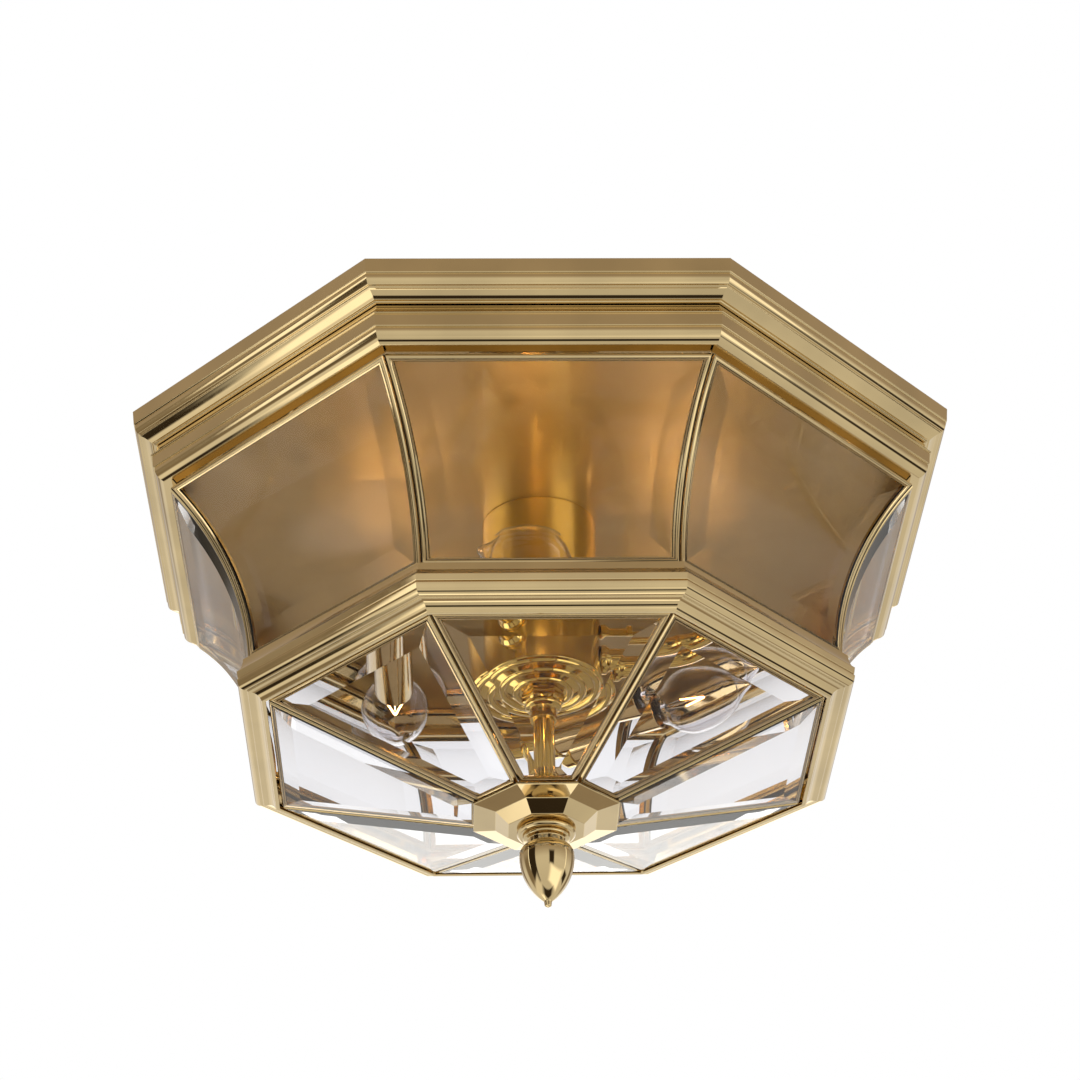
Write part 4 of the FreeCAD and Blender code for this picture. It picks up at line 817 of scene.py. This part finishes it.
class BuildStage(BuildStep):
    """Pale floor, soft studio light, white background and the camera at the photograph's angle"""
    bl_idname = "ceiling_light.stage"
    bl_label = "Stage"

    def build(self, context, sizes, looks):
        self.floor(context)
        self.lamps(context)
        self.world(context)
        self.camera(context)

    def floor(self, context):
        """A round floor well below: radius grows outwards and the level stays."""
        level, rings = -1500.0, np.array((0, 1500, 5000))[:, None]
        angle = np.linspace(0, math.tau, 65)
        grid = np.stack((rings * np.cos(angle), rings * np.sin(angle), np.full((3, 65), level)), -1)
        grid[:, -1] = grid[:, 0]
        floor = skin("studio_floor", [grid])
        material, tree, shader, where = new_material("Matt floor paper")
        pulp = add(tree, "ShaderNodeTexNoise", {"Vector": where, "Scale": 3.0})
        tone = tuple(context.scene.light_colours.floor)
        tree.links.new(blend(tree, pulp.outputs["Fac"], shade(tone, 0.985), tone), shader.inputs["Base Color"])
        shader.inputs["Roughness"].default_value = 0.9
        floor.data.materials.append(material)
        floor.visible_glossy = False

    def lamps(self, context):
        """Two soft boxes below the light, left and right, and a small warm lamp in each bulb. Polished metal sees
        the studio's panels in place of the boxes, and the camera sees no lamp."""
        for name, azimuth, height, reach, wide, tall, power in (
                ("left_box", -75, -37, 1.5, 1.9, 1.0, 11.0), ("right_box", 135, -30, 1.5, 1.2, 0.8, 6.0)):
            across, level = math.radians(azimuth), math.radians(height)
            place = Vector((math.sin(across) * math.cos(level), math.cos(across) * math.cos(level),
                            math.sin(level))) * reach
            box = self.lamp(context, name, place, "AREA", power, (1.0, 0.98, 0.95), shape="RECTANGLE", size=wide,
                            size_y=tall)
            box.visible_glossy = box.visible_camera = False
        for index in range(LAMPS):
            place = Vector((lamp_place(index) @ np.array((0, 0, FILAMENT_AT, 1)))[:3] * MM)
            glow = self.lamp(context, "bulb_light_%d" % (index + 1), place, "POINT", 0.085, (1.0, 0.66, 0.32),
                             shadow_soft_size=3 * MM)
            glow.visible_camera = glow.visible_transmission = False

    def lamp(self, context, name, place, kind, power, colour, **settings):
        """A lamp at a place, aimed at the middle of the light."""
        middle = Vector((0, 0, -0.08))
        lamp = bpy.data.lights.new(name, kind)
        lamp.energy = power
        lamp.color = colour
        for setting, value in settings.items():
            setattr(lamp, setting, value)
        holder = bpy.data.objects.new(name, lamp)
        holder.location = place
        holder.rotation_euler = (middle - place).to_track_quat("-Z", "Y").to_euler()
        context.scene.collection.objects.link(holder)
        return holder

    def world(self, context):
        """White where the camera looks at it, also through glass, and a photographer's studio to metal and to the
        light's balance: a warm grey room that is bright at the horizon, with panels, strips and dark flags. Brass
        inside the cage sees the studio through the panes, because its rays have a glossy bounce behind them."""
        world = bpy.data.worlds.new("Soft studio")
        world.use_nodes = True
        tree = world.node_tree
        tree.nodes.clear()
        way = add(tree, "ShaderNodeTexCoord").outputs["Generated"]
        height = add(tree, "ShaderNodeSeparateXYZ", {"Vector": way}).outputs["Z"]
        horizon, top, ground = (0.84, 0.83, 0.8, 1), (0.45, 0.38, 0.31, 1), (0.72, 0.71, 0.68, 1)
        above = blend(tree, height, horizon, top, 0.08, 0.42)
        depth = add(tree, "ShaderNodeMapRange", {"Value": height, "From Min": -0.1, "From Max": -0.9})
        room = add(tree, "ShaderNodeMix", {"Factor": depth.outputs[0], "A": above, "B": ground},
                   data_type="RGBA").outputs["Result"]
        for azimuth, level, wide, tall, roll, soft, tone in self.panels():
            room = self.panel(tree, way, room, *(math.radians(v) for v in (azimuth, level, wide / 2, tall / 2, roll)),
                              soft, (*tone, 1))
        paths = add(tree, "ShaderNodeLightPath")
        straight = add(tree, "ShaderNodeMath", {0: paths.outputs["Glossy Depth"], 1: 0.5}, operation="LESS_THAN")
        through = add(tree, "ShaderNodeMath", {0: paths.outputs["Is Transmission Ray"], 1: straight.outputs[0]},
                      operation="MULTIPLY")
        seen = add(tree, "ShaderNodeMath", {0: paths.outputs["Is Camera Ray"], 1: through.outputs[0]},
                   operation="MAXIMUM")
        studio = add(tree, "ShaderNodeBackground", {"Color": room, "Strength": 1.0})
        white = add(tree, "ShaderNodeBackground", {"Color": (1, 1, 1, 1), "Strength": 1.0})
        mix = add(tree, "ShaderNodeMixShader", {0: seen.outputs[0], 1: studio.outputs[0], 2: white.outputs[0]})
        add(tree, "ShaderNodeOutputWorld", {"Surface": mix.outputs[0]})
        context.scene.world = world
        context.scene.view_settings.view_transform = "Standard"

    def panels(self):
        """Each panel's azimuth from straight ahead, level, width, height and roll in degrees, softness and tone."""
        white, soft_white, dim, dark = (1.7, 1.68, 1.62), (0.98, 0.96, 0.92), (0.28, 0.23, 0.17), (0.04, 0.03, 0.02)
        dull = (0.36, 0.3, 0.23)
        return (
            (0, -2, 60, 30, 0, 0.2, soft_white),
            (0, -2, 34, 36, 0, 0.2, white),
            (0, -42, 50, 9, 0, 0.4, dull),
            (-112, -6, 34, 62, 0, 0.1, dark),
            (162, 3, 20, 24, 0, 0.3, dark),
            (-84, -4, 26, 44, 0, 0.4, dim),
            (-88, -38, 60, 24, 0, 0.3, soft_white),
            (-48, -47, 30, 8, 0, 0.3, dark),
            (-42, -64, 60, 22, 6, 0.1, white),
            (135, -30, 58, 30, 0, 0.3, white),
            (-97, 12, 3, 34, 0, 0.3, white),
            (96, 8, 3, 44, 0, 0.3, white),
            (-40, 20, 14, 40, 0, 0.4, dim),
            (52, 10, 16, 50, 0, 0.4, dim),
            (84, -12, 22, 14, 0, 0.4, dark),
            (178, -66, 60, 17, 0, 0.3, dark),
        )

    def panel(self, tree, way, room, azimuth, level, wide, tall, roll, soft, tone):
        """Mixes a tone into the room where max(|a . right| / width, |a . up| / height) is under 1, a being the way."""
        ahead = Vector((math.sin(azimuth) * math.cos(level), math.cos(azimuth) * math.cos(level), math.sin(level)))
        right = Matrix.Rotation(roll, 3, ahead) @ Vector((math.cos(azimuth), -math.sin(azimuth), 0))
        parts = []
        for axis, reach in ((right, math.sin(wide)), (right.cross(ahead), math.sin(tall))):
            dot = add(tree, "ShaderNodeVectorMath", {0: way, 1: axis / reach}, operation="DOT_PRODUCT")
            parts.append(add(tree, "ShaderNodeMath", {0: dot.outputs["Value"]}, operation="ABSOLUTE").outputs[0])
        far = add(tree, "ShaderNodeMath", {0: parts[0], 1: parts[1]}, operation="MAXIMUM")
        inside = add(tree, "ShaderNodeMapRange", {"Value": far.outputs[0], "From Min": 1 + soft, "From Max": 1 - soft},
                     interpolation_type="SMOOTHSTEP")
        dot = add(tree, "ShaderNodeVectorMath", {0: way, 1: ahead}, operation="DOT_PRODUCT")
        front = add(tree, "ShaderNodeMath", {0: dot.outputs["Value"], 1: 0.0}, operation="GREATER_THAN")
        share = add(tree, "ShaderNodeMath", {0: inside.outputs[0], 1: front.outputs[0]}, operation="MULTIPLY")
        mix = add(tree, "ShaderNodeMix", {"Factor": share.outputs[0], "A": room, "B": tone}, data_type="RGBA")
        return mix.outputs["Result"]

    def camera(self, context):
        """Below and in front of the light, looking up at 33 degrees, as the photograph was taken: back, aside and
        rise are in corner radii of the canopy, and the focal length is in pixels of the photograph."""
        corner, back, aside, rise, focal, photo_width = 0.2062, -6.167, 0.0023, -0.0851, 2578, 1080
        pitch, yaw, roll = math.radians(33.11), math.radians(2.11), math.radians(-1.44)
        ahead = Vector((math.sin(yaw) * math.cos(pitch), math.cos(yaw) * math.cos(pitch), math.sin(pitch)))
        right = Vector((math.cos(yaw), -math.sin(yaw), 0))
        up = right.cross(ahead)
        place = ahead * (back * corner) + right * (aside * corner) + up * (rise * corner)
        across = right * math.cos(roll) + up * math.sin(roll)
        upright = up * math.cos(roll) - right * math.sin(roll)
        data = bpy.data.cameras.new("photo_camera")
        data.sensor_width = 36.0
        data.lens = data.sensor_width * focal / photo_width
        camera = bpy.data.objects.new("photo_camera", data)
        turn = Matrix((across, upright, -ahead)).transposed()
        camera.matrix_world = Matrix.Translation(place) @ turn.to_4x4()
        context.scene.collection.objects.link(camera)
        context.scene.camera = camera


STEPS = (BuildStage, BuildMouldings, BuildTurnedPieces, BuildNuts, BuildArms, BuildBulbs, BuildGlass, BuildFrames,
         FinishNodes)


class CeilingLightPanel(bpy.types.Panel):
    """Lists the light's sizes, colours and build steps"""
    bl_idname = "VIEW3D_PT_ceiling_light"
    bl_label = "Ceiling Light"
    bl_space_type = "VIEW_3D"
    bl_region_type = "UI"
    bl_category = "Ceiling Light"

    def draw(self, context):
        for group in (context.scene.light_sizes, context.scene.light_colours):
            box = self.layout.box()
            for name in type(group).__annotations__:
                box.prop(group, name)
        for step in STEPS:
            self.layout.operator(step.bl_idname)


CLASSES = (LightSizes, LightColours) + STEPS + (CeilingLightPanel,)


def register():
    for item in CLASSES:
        bpy.utils.register_class(item)
    bpy.types.Scene.light_sizes = bpy.props.PointerProperty(type=LightSizes)
    bpy.types.Scene.light_colours = bpy.props.PointerProperty(type=LightColours)


def unregister():
    del bpy.types.Scene.light_sizes, bpy.types.Scene.light_colours
    for item in reversed(CLASSES):
        bpy.utils.unregister_class(item)


def main():
    register()
    for step in STEPS:
        getattr(bpy.ops.ceiling_light, step.bl_idname.split(".")[1])()


if __name__ == "__main__":
    main()
